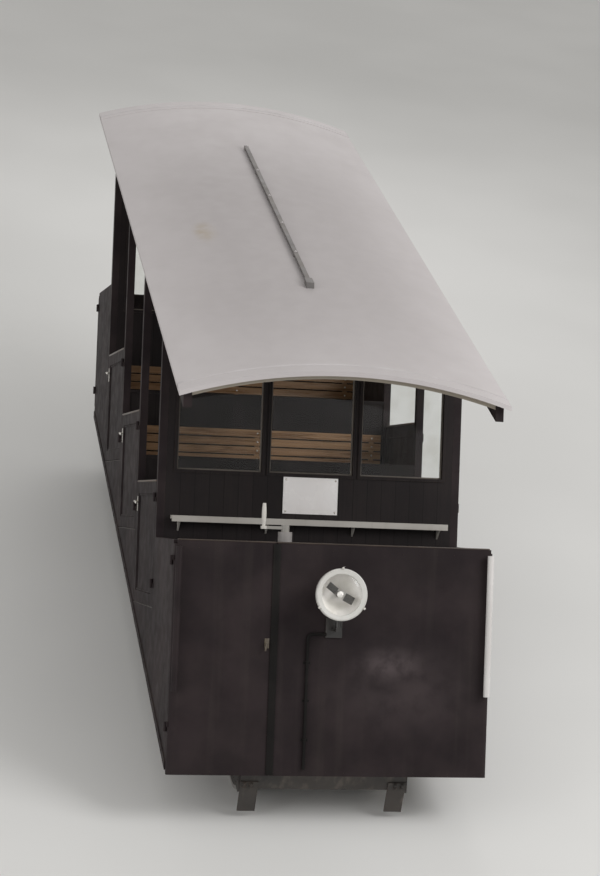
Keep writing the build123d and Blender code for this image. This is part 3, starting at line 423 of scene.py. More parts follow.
RIGHT, LEFT = Vector((1, 0, 0)), Vector((-1, 0, 0))
UPHILL = Vector((0, LEVEL, -STEEP))
DOWNHILL = -UPHILL
SQUARE_UP = Vector((0, 0, 1))
SIDES = ((-1, LEFT), (1, RIGHT))

RIVET_RADIUS, RIVET_FLAT = 0.0085, 0.62
rivet = ball("rivet", RIVET_RADIUS, 10, 8)
rivet.scale = (1, 1, RIVET_FLAT)
settle(rivet, "rivet")
open_up(rivet, lambda face: True)
cut_off((0, 0, 0), -SQUARE_UP)
smooth(close_up(rivet), 60)

PLATE_FACE = 0.628
AXLES = (-1.7869, 1.7869)
MEMBERS = (-2.1944, -1.1319, 0.0, 1.1319, 2.4419)
RIVET_ROW, RIVET_START, RIVET_PITCH = 0.232, -2.16, 0.135
GUIDE_HALF, PLATE_END = 0.14, 3.2
rivet_places = []
for side, outward in SIDES:
    for count in range(42):
        y = RIVET_START + count * RIVET_PITCH
        if min(abs(y - axle) for axle in AXLES) > GUIDE_HALF and y < PLATE_END:
            rivet_places.append(((side * PLATE_FACE, y, RIVET_ROW), outward))
    for member in MEMBERS:
        for rise in (0.275, 0.325):
            rivet_places.append(((side * PLATE_FACE, member, rise), outward))
fit(set_out("plate_rivets", rivet, rivet_places), frame_black)

WASHER_THICK, NUT_HEIGHT = 0.003, 0.011
nut_foot, nut_top = SQUARE_UP * WASHER_THICK, SQUARE_UP * (WASHER_THICK + NUT_HEIGHT)
bolt = rod("bolt", nut_foot, nut_top, 0.014, 6)
soften(raise_face(bolt, SQUARE_UP, 0.0055, 0.006), 0.001, 1)
washer = soften(rod("washer", (0, 0, 0), nut_foot, 0.018, 16), 0.0006, 1)
bolt = weld("bolt", bolt, washer)

UP_LINE, DOWN_LINE = Vector((0, 1, 0)), Vector((0, -1, 0))
LOWER_GUARD, UPPER_GUARD, CLEVIS_FACE = -2.2414, 3.2827, 3.2947
guard_bolts = []
for x in (-0.585, -0.535, 0.535, 0.585):
    for z in (0.245, 0.27):
        guard_bolts.append(((x, LOWER_GUARD, z), DOWN_LINE))
        guard_bolts.append(((x, UPPER_GUARD, z), UP_LINE))
for x in (-0.045, 0.045):
    guard_bolts.append(((x, CLEVIS_FACE, 0.24), UP_LINE))
    guard_bolts.append(((x, CLEVIS_FACE, 0.33), UP_LINE))
fit(set_out("guard_bolts", bolt, guard_bolts), frame_black)

# Rope pin. A turned steel pin through the ears of the clevis, with a head at one end and a
# washer and split pin at the other.
turned_steel = worn_paint(
    "turned_steel", (0.2, 0.19, 0.18), (0.14, 0.125, 0.11), rough=0.42, dust=0.25, streaks=0.1,
    edges=0.3, bare=(0.4, 0.39, 0.37), bump=0.2
)
PIN_PLACE, PIN_END = (3.4107, 0.285), -0.078
rope_pin = rod("rope_pin", (PIN_END, *PIN_PLACE), (0.084, *PIN_PLACE), 0.0235, 28)
pin_head = rod("pin_head", (PIN_END, *PIN_PLACE), (-0.062, *PIN_PLACE), 0.035, 28)
pin_washer = rod("pin_washer", (0.0615, *PIN_PLACE), (0.067, *PIN_PLACE), 0.037, 28)
for turned, corner in ((rope_pin, 0.003), (pin_head, 0.003), (pin_washer, 0.001)):
    soften(turned, corner)
split_pin = rod("split_pin", (0.075, 3.376, 0.285), (0.075, 3.446, 0.285), 0.004, 10)
fit(weld("rope_pin", rope_pin, pin_head, pin_washer, split_pin), turned_steel)

# Wheelsets. Cast wheels pressed on forged axles. Rolling keeps the treads and flanges
# bright, and the rest carries brake dust over thin black paint.
WHEEL_HEIGHT = TREAD = 0.3


def rolled_wheel(name):
    """Painted iron that is ground bright where it meets the rail."""
    made = worn_paint(
        name, (0.04, 0.037, 0.034), (0.075, 0.058, 0.046), rough=0.6, dust=0.35, edges=0.5,
        bare=(0.2, 0.16, 0.13), bump=0.45, grain=90.0
    )
    tree, surface, place = reopen(made)
    parts = shade(tree, "ShaderNodeSeparateXYZ", {0: place}).outputs
    level = sums(tree, "ABSOLUTE", parts[1], clamp=False)
    level = sums(tree, "SUBTRACT", level, AXLES[1], clamp=False)
    rise = sums(tree, "SUBTRACT", parts[2], WHEEL_HEIGHT, clamp=False)
    spoke = shade(tree, "ShaderNodeCombineXYZ", {1: level, 2: rise})
    reach = shade(tree, "ShaderNodeVectorMath", {0: spoke.outputs[0]}, operation="LENGTH")
    around = lay(tree, place, Scale=(130, 7, 7))
    rings = span(tree, noise(tree, around, 1.0, 4.0), 0.3, 0.6, 0.78, 1.0)
    rolled = product(tree, span(tree, reach.outputs["Value"], TREAD - 0.008, TREAD - 0.004), rings)
    old_rough = surface.inputs["Roughness"].links[0].from_socket
    paint_over(tree, surface, rolled, (0.5, 0.48, 0.46))
    ground = shade(tree, "ShaderNodeMix", {0: rolled, 2: old_rough, 3: 0.3}).outputs[0]
    feed(tree, surface, {"Metallic": rolled, "Roughness": ground})
    return made


wheel_iron = rolled_wheel("wheel_iron")
for end in ("lower", "upper"):
    dress(wheel_iron, "flanged_wheel_" + end, "drum_wheel_" + end)
    dress(turned_steel, "axle_" + end)

# Axle boxes, springs and shackles. Cast boxes with bolted covers and oil lids slide in the
# side plates, and leaf springs of flat steel stand on them in riveted buckles.
dress(frame_black, "axle_boxes", "leaf_springs", "spring_shackles")


def corners(radius):
    """How far over and up four bolts on a circle stand from its middle."""
    turns = [math.radians(45 + 90 * quarter) for quarter in range(4)]
    return [(radius * math.cos(turn), radius * math.sin(turn)) for turn in turns]


BOX_FACE, COVER_BOLTS = 0.715, 0.05
SHACKLE_END, EYE_REACH, EYE_HEIGHT = 0.7057, 0.2697, 0.4625
box_bolts, spring_nuts = [], []
for side, outward in SIDES:
    for axle in AXLES:
        for over, up in corners(COVER_BOLTS):
            box_bolts.append(((side * BOX_FACE, axle + over, WHEEL_HEIGHT + up), outward))
        for way in (-1, 1):
            for drop in (0, 0.07):
                place = (side * SHACKLE_END, axle + way * EYE_REACH, EYE_HEIGHT - drop)
                spring_nuts.append((place, outward))
fit(set_out("box_bolts", bolt, box_bolts), frame_black)
fit(set_out("shackle_nuts", bolt, spring_nuts), frame_black)

CUP_X = 0.676
oil_lids = []
for side, outward in SIDES:
    for axle in AXLES:
        low, high = sorted((side * (BOX_FACE - 0.001), side * (BOX_FACE + 0.012)))
        lid = rod("lid", (low, axle, WHEEL_HEIGHT), (high, axle, WHEEL_HEIGHT), 0.034, 24)
        oil_lids.append(soften(raise_face(lid, outward, 0.01, 0.007), 0.0025))
        cup_x, cup_y = side * CUP_X, axle + 0.06
        cup = rod("cup", (cup_x, cup_y, 0.383), (cup_x, cup_y, 0.398), 0.013)
        oil_lids.append(soften(cup, 0.003))
fit(weld("oil_lids", *oil_lids), frame_black)

# Brakes. Cast jaws hang beside the rail's head on turned pins, and a screw spindle with
# nuts draws them together. The rod that works them runs back over the cross members.
dress(frame_black, "rail_brakes")
JAW_MIDDLE = -0.526
SPINDLE_REACH, SPINDLE_HEIGHT = 0.0765, 0.326
SHOE_FACE, SHOE_HEIGHT = 0.0317, 0.118
brake_nuts = []
for spindle in (-1.1992, 1.0646):
    for way, outward in SIDES:
        end = JAW_MIDDLE + way * SPINDLE_REACH
        brake_nuts.append(((end, spindle, SPINDLE_HEIGHT), outward))
        shoe = JAW_MIDDLE + way * 0.046
        brake_nuts.append(((shoe, spindle - SHOE_FACE, SHOE_HEIGHT), DOWN_LINE))
fit(set_out("brake_nuts", bolt, brake_nuts), frame_black)

# Floors. Tongued pine boards across the car under settled dust, rubbed at their edges,
# with a ribbed steel sill strip in each doorway.
grain_effect, given, gives = effect(
    "timber grain", {"Board Width": 0.12}, "Grain", "Joint", "Board Tone"
)
tree = grain_effect
long, fine = [lay(tree, given["Place"], Scale=size) for size in ((1.3, 20, 20), (6, 240, 240))]
rings = noise(tree, long, 1.0, 8.0, Distortion=1.4)
pores = noise(tree, fine, 1.0, 2.0)
figure = shade(tree, "ShaderNodeMix", {0: 0.35, 2: rings, 3: pores})
tree.links.new(span(tree, figure.outputs[0], 0.36, 0.64), gives["Grain"])
across_boards = shade(tree, "ShaderNodeSeparateXYZ", {0: given["Place"]}).outputs[1]
counted = sums(tree, "DIVIDE", across_boards, given["Board Width"], clamp=False)
to_joint = sums(tree, "PINGPONG", counted, 0.5, clamp=False)
tree.links.new(span(tree, to_joint, 0.035, 0.0), gives["Joint"])
whole = sums(tree, "FLOOR", counted, clamp=False)
chance = shade(tree, "ShaderNodeTexWhiteNoise", {"W": whole}, noise_dimensions="1D")
tree.links.new(chance.outputs[0], gives["Board Tone"])


def timber(
    name, dark, light, width, rough, edges, bare,
    turn=(GRADE, 0, 0), dust=0.15, shine=0.5, relief=0.3
):
    """Boards or slats with their grain along the turned X and their joints across it."""
    made, tree, surface, place = new_finish(name)
    laid = lay(tree, place, Rotation=turn)
    grain = wear(tree, grain_effect, {"Place": laid, "Board Width": width})
    colour = blend(tree, grain["Grain"], dark, light)
    shadow = tuple(0.6 * part for part in dark)
    toned = span(tree, grain["Board Tone"], 0.0, 1.0, 0.0, 0.45)
    colour = blend(tree, toned, colour, shadow)
    edge = wear(tree, edge_effect, {"Place": place, "Amount": edges})[0]
    colour = blend(tree, edge, colour, bare)
    lying = wear(tree, dust_effect, {"Place": place, "Amount": dust, "Patch Scale": 2.2})[0]
    colour = blend(tree, lying, colour, ROAD_DUST)
    gap = tuple(0.12 * part for part in dark)
    colour = blend(tree, grain["Joint"], colour, gap)
    gloss = span(tree, grain["Grain"], 0.0, 1.0, rough - 0.06, rough + 0.08)
    matt = shade(tree, "ShaderNodeMix", {0: lying, 2: gloss, 3: 0.85}).outputs[0]
    sunk = sums(tree, "SUBTRACT", grain["Grain"], grain["Joint"])
    raised = shade(tree, "ShaderNodeBump", {"Height": sunk, "Strength": relief, "Distance": 0.003})
    feed(tree, surface, {"Base Color": colour, "Roughness": matt})
    feed(tree, surface, {"Normal": raised.outputs[0], "Specular IOR Level": shine})
    return made


floor_pine = timber(
    "floor_pine", (0.17, 0.125, 0.09), (0.3, 0.24, 0.18), width=0.11, rough=0.75, dust=0.5,
    edges=0.4, bare=(0.36, 0.29, 0.2)
)
dress(floor_pine, "floors")


def board(name, x, along, height):
    """A squared length, upright on the slope, between its low and high sides."""
    middle = on_car(sum(x) / 2, sum(along) / 2, sum(height) / 2)
    size = (x[1] - x[0], along[1] - along[0], height[1] - height[0])
    bpy.ops.mesh.primitive_cube_add(size=1, location=middle, rotation=(-GRADE, 0, 0), scale=size)
    return settle(bpy.context.object, name)


STEPS = (
    (0.0, 0.97, 1.0006),
    (0.97, 2.07, 1.5732),
    (2.07, 3.17, 2.1458),
    (3.17, 4.27, 2.7184),
    (4.27, 5.24, 3.2234),
)
HALF_POST = 0.03
WALL_INSIDE, WALL_OUTSIDE = 1.135, 1.175
SILL_STRIP, SILL_RIB = 0.0025, 0.0012
sills = []
for low, high, floor in STEPS[1:4]:
    for side, outward in SIDES:
        x = sorted((side * (WALL_INSIDE - 0.07), side * (WALL_OUTSIDE - 0.002)))
        along = (low + HALF_POST + 0.004, high - HALF_POST - 0.004)
        strip = board("sill", x, along, (floor, floor + SILL_STRIP))
        open_up(strip, lambda face: face.normal.dot(TRUE_UP) > 0.9)
        bpy.ops.mesh.inset(thickness=0.006)
        bpy.ops.mesh.subdivide(number_cuts=8)
        close_up(strip)
        open_up(strip, lambda face: face.normal.dot(TRUE_UP) > 0.9 and face.area < 0.0016)
        bpy.ops.mesh.inset(thickness=0.003, use_individual=True)
        bpy.ops.transform.translate(value=TRUE_UP * SILL_RIB)
        sills.append(close_up(strip))
fit(weld("sill_strips", *sills), turned_steel)

# Platform gratings. Slatted oak mats on battens, loose on both platform floors, so that
# snow and wet drop through.
oak = timber(
    "grey_oak", (0.13, 0.1, 0.075), (0.24, 0.2, 0.155), width=0.5, turn=(0, 0, 0), rough=0.8,
    dust=0.45, edges=0.5, bare=(0.33, 0.27, 0.2)
)
SLAT, SLAT_PITCH, MAT_HALF = 0.045, 0.07, 0.9
BATTEN_HIGH, MAT_HIGH = 0.014, 0.03
slats = []
for low, high, floor in ((0.3, 0.86, STEPS[0][2]), (4.36, 4.9, STEPS[4][2])):
    top, mat_top = floor + BATTEN_HIGH, floor + MAT_HIGH
    along = low
    while along + SLAT < high:
        slat = board("slat", (-MAT_HALF, MAT_HALF), (along, along + SLAT), (top, mat_top))
        slats.append(soften(slat, 0.003))
        along += SLAT_PITCH
    for x in (-0.78, 0.0, 0.78):
        batten = board("batten", (x - 0.02, x + 0.02), (low, high - 0.03), (floor, top))
        slats.append(soften(batten, 0.002, 1))
fit(weld("platform_gratings", *slats), oak)

# Coachwork. Sheeted and panelled timber in near black brown coach varnish, gone matt with
# weather, with fine joints where boards meet and rivets along the foot bead.
VARNISH = (0.0145, 0.0098, 0.0112)
VARNISH_FADED = (0.0285, 0.0202, 0.0215)
coach_brown = worn_paint(
    "coach_brown", VARNISH, VARNISH_FADED, rough=0.6, dust=0.14, streaks=0.03, edges=0.3,
    bare=(0.1, 0.07, 0.05), bump=0.04, shine=0.14
)


def stain(made, middle, reach, strength, colour):
    """A soft ragged mark of another colour at one place on a painted piece."""
    tree, surface, place = reopen(made)
    off = shade(tree, "ShaderNodeVectorMath", {0: place, 1: middle}, operation="SUBTRACT")
    off = shade(tree, "ShaderNodeVectorMath", {0: off.outputs[0], 1: reach}, operation="DIVIDE")
    far = shade(tree, "ShaderNodeVectorMath", {0: off.outputs[0]}, operation="LENGTH")
    ragged = span(tree, noise(tree, place, 9.0, 6.0), 0.3, 0.65, 0.35, 1.0)
    mark = product(tree, span(tree, far.outputs["Value"], 1.0, 0.1), strength, ragged)
    paint_over(tree, surface, mark, colour)


APRON_SMEARS = (
    ((0.42, -1.96, 1.12), (0.32, 0.4, 0.14), 0.23),
    ((0.53, -2.03, 0.97), (0.75, 0.9, 0.45), 0.1),
)
for middle, reach, strength in APRON_SMEARS:
    stain(coach_brown, middle, reach, strength, (0.23, 0.185, 0.19))

DOORS = [(number, side) for number in (1, 2, 3) for side in ("left", "right")]
dress(coach_brown, "side_walls", "posts", "cant_rails", "aprons", "lower_gate", "upper_gate")
dress(coach_brown, *["door_%d_%s" % door for door in DOORS])

boarded_brown = timber(
    "boarded_brown", (0.0105, 0.0075, 0.0082), (0.0175, 0.013, 0.0135), width=0.1115,
    turn=(GRADE - math.radians(90), 0, math.radians(-90)), rough=0.55, dust=0.16, edges=0.3,
    bare=(0.1, 0.07, 0.05), shine=0.16, relief=0.12
)
dress(boarded_brown, "lower_bulkhead", "upper_bulkhead", "partitions")

FOOT_HEIGHT = 0.4516
BEAD_FACE, BEAD_MIDDLE, BEAD_START, BEAD_PITCH = 1.184, 0.03, 0.11, 0.117
bead_places = []
for side, outward in SIDES:
    for count in range(44):
        along = BEAD_START + count * BEAD_PITCH
        height = FOOT_HEIGHT + along * math.tan(GRADE) + BEAD_MIDDLE
        bead_places.append((on_car(side * BEAD_FACE, along, height), outward))
fit(set_out("bead_rivets", rivet, bead_places), coach_brown)

# Doors. Framed and panelled, with a planted bead round each sunk panel, a rounded oak top
# rail, and a cast lever handle on a keyed plate that turns a latch into the post.
plated, tree, surface, place = new_finish("worn_nickel")
tarnish = noise(tree, place, 34.0, 6.0)
spots = span(tree, tarnish, 0.52, 0.72)
nickel = blend(tree, spots, (0.62, 0.6, 0.56), (0.36, 0.32, 0.27))
dull = span(tree, tarnish, 0.3, 0.7, 0.2, 0.42)
pits = shade(tree, "ShaderNodeBump", {"Height": spots, "Strength": 0.1, "Distance": 0.0008})
feed(tree, surface, {"Base Color": nickel, "Metallic": 1.0})
feed(tree, surface, {"Roughness": dull, "Normal": pits.outputs[0]})

rail_oak = timber(
    "rail_oak", (0.05, 0.031, 0.021), (0.095, 0.06, 0.038), width=0.6,
    turn=(GRADE, 0, math.radians(-90)), rough=0.35, edges=0.5, bare=(0.2, 0.14, 0.09)
)


def ring(name, x, along, height, flat, width):
    """A planted moulding: a thin board with its middle taken out, rounded over."""
    made = board(name, x, along, height)
    open_up(made, lambda face: abs(face.normal.dot(flat)) > 0.9)
    bpy.ops.mesh.inset(thickness=width)
    bpy.ops.mesh.bridge_edge_loops()
    close_up(made)
    return soften(made, 0.0035, 2)


DOOR_GAP, DOOR_WAIST, RAIL_HIGH = 0.008, 0.95, 0.016
RAIL_BACK, RAIL_FRONT = 1.134, 1.178
PANEL_IN, PANEL_FOOT, PANEL_TOP = 0.09, 0.098, 0.86
OUTER_BEAD, INNER_BEAD, BEAD_WIDTH = (1.163, 1.17), (1.149, 1.142), 0.016
HANDLE_IN, HANDLE_HIGH, KEY_HALF, KEY_THICK = 0.045, 0.8, 0.017, 0.003
for number, side_name in DOORS:
    low, high, floor = STEPS[number]
    side = -1 if side_name == "left" else 1
    body = "door_%d_%s" % (number, side_name)
    low, high = low + HALF_POST + DOOR_GAP, high - HALF_POST - DOOR_GAP
    beads = []
    panel = (low + PANEL_IN, high - PANEL_IN)
    panel_height = (floor + PANEL_FOOT, floor + PANEL_TOP)
    for face, front in (OUTER_BEAD, INNER_BEAD):
        x = sorted((side * face, side * front))
        beads.append(ring("bead", x, panel, panel_height, RIGHT, BEAD_WIDTH))
    fit(weld(body + "_beads", *beads), coach_brown, body)
    x = sorted((side * RAIL_BACK, side * RAIL_FRONT))
    waist = floor + DOOR_WAIST
    top = board(body + "_top_rail", x, (low, high), (waist, waist + RAIL_HIGH))
    fit(soften(top, 0.007, 3), rail_oak, body)
    lock, lever = high - HANDLE_IN, floor + HANDLE_HIGH
    spot = on_car(side * WALL_OUTSIDE, lock, lever)
    x = sorted((side * WALL_OUTSIDE, side * (WALL_OUTSIDE + KEY_THICK)))
    plate = board("plate", x, (lock - KEY_HALF, lock + KEY_HALF), (lever - 0.08, lever + 0.04))
    soften(plate, 0.0012, 2)
    stem = soften(rod("stem", spot, spot + RIGHT * side * 0.03, 0.008, 16), 0.001, 1)
    turned = spot + RIGHT * side * 0.026
    grip_tip = turned - UPHILL * 0.1 - TRUE_UP * 0.012
    grip = rod("grip", turned + UPHILL * 0.01, grip_tip, 0.0075, 16)
    open_up(grip, lambda face: face.normal.dot(DOWNHILL) > 0.8)
    bpy.ops.transform.resize(value=(1.5, 1.5, 1.5))
    close_up(grip)
    grip = soften(grip, 0.003, 2)
    fit(weld(body + "_handle", plate, stem, grip), plated, body)


# Windows. Each sash is glazed from outside with a putty bead and held by turn buttons, and
# its panes are thin old glass under a film of dust, which throws no shadow to speak of.
def glaze(name, part, ior, scale, detail, clear, filmed):
    """Gives a CAD node clear glass with a film of dust that comes and goes in clouds."""
    made, tree, surface, place = new_finish(name)
    film = span(tree, noise(tree, place, scale, detail), 0.4, 0.7)
    feed(tree, surface, {"Transmission Weight": 1.0, "IOR": ior, "Roughness": 0.0})
    feed(tree, surface, {"Base Color": blend(tree, film, clear, filmed)})
    dress(made, part)
    node[part].visible_shadow = False


CLEAR_PANE, FILMED_PANE = (0.94, 0.96, 0.95), (0.84, 0.85, 0.82)
glaze("old_glass", "bulkhead_glass", 1.2, 4.0, 4.0, CLEAR_PANE, FILMED_PANE)

putty = worn_paint(
    "putty", (0.1, 0.085, 0.072), (0.16, 0.14, 0.12), rough=0.7, dust=0.3, streaks=0.1,
    bare=(0.2, 0.17, 0.14)
)
WINDOW_MIDDLES = (-0.71, 0.0, 0.71)
HALF_WINDOW, WINDOW_HEIGHT, PLAY = 0.325, 0.87, 0.0005
BEAD_BACK, BEAD_FRONT, BEAD_WIDE = 0.0045, 0.014, 0.011
HALF_WALL = 0.04
LOWER_WALL, UPPER_WALL = 0.97, 4.27
glazing, buttons = [], []
for line, sill in ((LOWER_WALL, 2.6232), (UPPER_WALL, 4.1034)):
    for middle in WINDOW_MIDDLES:
        x = (middle - HALF_WINDOW + PLAY, middle + HALF_WINDOW - PLAY)
        height = (sill + PLAY, sill + WINDOW_HEIGHT - PLAY)
        for face in ((line - BEAD_FRONT, line - BEAD_BACK), (line + BEAD_BACK, line + BEAD_FRONT)):
            glazing.append(ring("glazing", x, face, height, UPHILL, BEAD_WIDE))
        for way in (-1, 1):
            for rise in (0.12, 0.75):
                side = middle + way * (HALF_WINDOW + BEAD_WIDE)
                buttons.append((on_car(side, line + HALF_WALL, sill + rise), UPHILL))
fit(weld("glazing_beads", *glazing), putty)

bpy.ops.mesh.primitive_cube_add(size=1, scale=(0.014, 0.05, 0.004), location=(0, 0, 0.004))
turn_button = soften(settle(bpy.context.object, "turn_button"), 0.0018, 2)
turn_button = weld("turn_button", turn_button, ball("screw", 0.006, 10, 6, (0, 0, 0.006)))
fit(set_out("window_buttons", turn_button, buttons), plated)

# Blank plate. A white enamelled sheet on the lower bulkhead under the middle window, bare,
# with its four screws. Its enamel is whiter than the lamp bezel's white enamel, as painted
# sunlight.
plate_enamel_painted_sunlight = worn_paint(
    "plate_enamel_painted_sunlight", (0.93, 0.905, 0.9), (0.88, 0.85, 0.84), rough=0.25, dust=0.06, streaks=0.06,
    edges=0.4, bare=(0.12, 0.09, 0.075), bump=0.03
)
PLATE_HALF, PLATE_FOOT, PLATE_TOP = 0.213, 2.318, 2.597
SCREW_IN = 0.02
blank = board("blank_plate", (-PLATE_HALF, PLATE_HALF), (0.934, 0.9395), (PLATE_FOOT, PLATE_TOP))
raise_face(blank, DOWNHILL, 0.008, 0.0015)
fit(soften(blank, 0.0008, 2), plate_enamel_painted_sunlight)
plate_screws = [
    (on_car(x, 0.9335, height), DOWNHILL)
    for x in (SCREW_IN - PLATE_HALF, PLATE_HALF - SCREW_IN)
    for height in (PLATE_FOOT + SCREW_IN, PLATE_TOP - SCREW_IN)
]
fit(set_out("plate_screws", rivet, plate_screws), plated)

# Ledge board. A painted pine shelf on knees across the front of the bulkhead, in pale paint that is
# partly painted sunlight, rubbed to dark wood at its edges.
ledge_paint_and_sunlight = worn_paint(
    "ledge_paint_and_sunlight", (0.5, 0.475, 0.44), (0.4, 0.375, 0.34), rough=0.5, dust=0.25, streaks=0.2,
    edges=0.5, bare=(0.16, 0.12, 0.09)
)
dress(ledge_paint_and_sunlight, "ledge_board")

# Partitions and benches. Slatted seats of varnished ash screwed to cast iron frames, with
# their backs on the boarded partitions.
bench_ash = timber(
    "bench_ash", (0.2, 0.1, 0.042), (0.36, 0.2, 0.09), width=0.7, rough=0.32, edges=0.6,
    bare=(0.42, 0.29, 0.17)
)
dress(bench_ash, "bench_1", "bench_2", "bench_3")
SEAT_SCREWS = 1.015
SEAT_HIGH, SEAT_FRONT, BACK_FOOT, BACK_FACE = 0.45, 0.43, 0.07, 0.024
BENCH_SLAT, HALF_SLAT = 0.074, 0.031
bench_screws = []
for number, back in ((1, 2.052), (2, 3.152), (3, 4.24)):
    seat = STEPS[number][2] + SEAT_HIGH
    for x in (-SEAT_SCREWS, 0.0, SEAT_SCREWS):
        for slat in range(5):
            over = slat * BENCH_SLAT + HALF_SLAT
            bench_screws.append((on_car(x, back - SEAT_FRONT + over, seat), TRUE_UP))
            bench_screws.append((on_car(x, back - BACK_FACE, seat + BACK_FOOT + over), DOWNHILL))
fit(set_out("bench_screws", rivet, bench_screws), plated)

# Aprons. Sheet iron on timber frames at both ends, with the gate at the left corner. The
# sheets are screwed along their edges and capped with oak. A black strip on the gate covers
# its joint, and a brass lever latches it.
ENDS = (
    ("lower", 0.0, 1, DOWNHILL, FOOT_HEIGHT, 2.0806),
    ("upper", 5.24, -1, UPHILL, 3.1794, 4.3034),
)
FROM_EDGE = 0.024


def screw_rows(x, count, end):
    """Places of screws along the foot and top of a sheet and up both of its sides."""
    name, face, inward, outward, foot, top = end
    low, high = foot + FROM_EDGE, top - FROM_EDGE
    places = []
    for step in range(count):
        across = x[0] + (x[1] - x[0]) * step / (count - 1)
        places += [(on_car(across, face, height), outward) for height in (low, high)]
    for step in range(1, 12):
        height = low + (high - low) * step / 12
        places += [(on_car(across, face, height), outward) for across in x]
    return places


black_enamel = worn_paint(
    "black_enamel", (0.007, 0.0065, 0.0065), (0.014, 0.0125, 0.012), rough=0.65, streaks=0.05,
    bare=(0.05, 0.042, 0.036), bump=0.06, shine=0.1
)
old_brass = worn_paint(
    "old_brass", (0.1, 0.078, 0.055), (0.05, 0.04, 0.032), rough=0.38, edges=0.7,
    bare=(0.42, 0.35, 0.22), bump=0.1
)
cap_oak = timber(
    "cap_oak", (0.035, 0.023, 0.018), (0.065, 0.043, 0.031), width=0.6, rough=0.4, edges=0.4,
    bare=(0.14, 0.1, 0.07)
)


def cap(name, x, end, body="body"):
    """A rounded oak cap along the top of a sheet."""
    face, inward, top = end[1], end[2], end[5]
    depth = sorted((face + inward * 0.001, face + inward * 0.049))
    made = board(name, x, depth, (top + 0.026, top + 0.036))
    fit(soften(made, 0.0045, 3), cap_oak, body)


small_screw = smaller(rivet, "small_screw", (0.55, 0.55, 0.55))
APRON_SHEET, GATE_SHEET, COVER_STRIP = (-0.41, 1.14), (-1.135, -0.465), (-0.462, -0.408)
GATE_CAP, APRON_CAP = (-1.15, -0.4405), (-0.4335, 1.15)
LATCH_X, LATCH_HIGH, LATCH_HALF = -0.49, 0.94, 0.035
apron_screws = screw_rows(APRON_SHEET, 13, ENDS[0]) + screw_rows(APRON_SHEET, 13, ENDS[1])
fit(set_out("apron_screws", small_screw, apron_screws), coach_brown)
for end in ENDS:
    name, face, inward, outward, foot, top = end
    body = name + "_gate"
    gate_screws = set_out(body + "_screws", small_screw, screw_rows(GATE_SHEET, 6, end))
    fit(gate_screws, coach_brown, body)
    latch = foot + LATCH_HIGH
    spot = on_car(LATCH_X, face, latch)
    x, depth = (LATCH_X - 0.012, LATCH_X + 0.02), sorted((face, face - inward * 0.004))
    latch_plate = board("latch_plate", x, depth, (latch - LATCH_HALF, latch + LATCH_HALF))
    soften(latch_plate, 0.0015, 2)
    stem = soften(rod("latch_stem", spot, spot + outward * 0.03, 0.007, 16), 0.001, 1)
    turned = spot + outward * 0.027
    lever_tip = turned - TRUE_UP * 0.055 - RIGHT * 0.01
    lever = soften(rod("latch_lever", turned + TRUE_UP * 0.008, lever_tip, 0.007, 16), 0.003, 2)
    fit(weld(body + "_latch", latch_plate, stem, lever), old_brass, body)
    depth = sorted((face - inward * 0.001, face - inward * 0.008))
    strip = board(body + "_cover_strip", COVER_STRIP, depth, (foot + 0.004, top + 0.02))
    fit(soften(strip, 0.003, 2), black_enamel, body)
    cap(body + "_cap", GATE_CAP, end, body)
for end in ENDS:
    cap(end[0] + "_cap", APRON_CAP, end)

# Lamp wire pipe. An iron pipe from the lamp's bracket down the face of the apron, bent
# once and held by saddles, that carries the wire to the underframe.
PIPE_RADIUS, PIPE_BEND = 0.011, 0.035
PIPE_START, PIPE_X, PIPE_OUT = -0.056, -0.19, -0.0125
PIPE_HEIGHT, PIPE_FOOT = 1.465, 0.5
start = on_car(PIPE_START, PIPE_OUT, PIPE_HEIGHT)
bpy.ops.mesh.primitive_circle_add(
    vertices=12,
    radius=PIPE_RADIUS,
    fill_type="NGON",
    location=start,
    rotation=LEFT.to_track_quat("Z", "Y").to_euler(),
)
pipe = bpy.context.object
bpy.ops.object.mode_set(mode="EDIT")
bpy.ops.mesh.select_all(action="SELECT")
draw_out(LEFT * (PIPE_START - PIPE_X - PIPE_BEND))
elbow = on_car(PIPE_X + PIPE_BEND, PIPE_OUT, PIPE_HEIGHT - PIPE_BEND)
bpy.ops.mesh.spin(steps=7, angle=math.radians(90), center=elbow, axis=UPHILL)
draw_out(-TRUE_UP * (PIPE_HEIGHT - PIPE_BEND - PIPE_FOOT))
bpy.ops.mesh.select_all(action="SELECT")
bpy.ops.mesh.remove_doubles(threshold=0.0002)
bpy.ops.mesh.normals_make_consistent(inside=False)
bpy.ops.object.mode_set(mode="OBJECT")
pipe = smooth(settle(pipe, "wire_pipe"), 40)
SADDLE_WIDE, SADDLE_EAR = 0.018, 0.026
saddles = []
for height in (1.25, 0.98, 0.7):
    top = height + SADDLE_WIDE
    ears = (PIPE_X - SADDLE_EAR, PIPE_X + SADDLE_EAR)
    strap = board("saddle", ears, (-0.003, 0.0), (height, top))
    saddles.append(soften(strap, 0.001, 1))
    start, end = on_car(PIPE_X, PIPE_OUT, height), on_car(PIPE_X, PIPE_OUT, top)
    saddles.append(soften(rod("hoop", start, end, PIPE_RADIUS + 0.002, 16), 0.001, 1))
fit(weld("wire_pipe", pipe, *saddles), black_enamel)

# Corner poles. Drawn steel grab poles on forged brackets at the corners of the aprons. The white
# enamel on the right poles is painted sunlight, and the coach varnish on the left poles at the
# gates is painted shade.
pole_white_painted_sunlight = worn_paint(
    "pole_white_painted_sunlight", (0.72, 0.7, 0.685), (0.64, 0.615, 0.595), rough=0.28, streaks=0.12, edges=0.3,
    bare=(0.3, 0.27, 0.24), bump=0.05
)
dress(pole_white_painted_sunlight, "corner_poles_right")
# The left poles wear the dark coach varnish as painted shade.
dress(coach_brown, "corner_pole_lower_left", "corner_pole_upper_left")

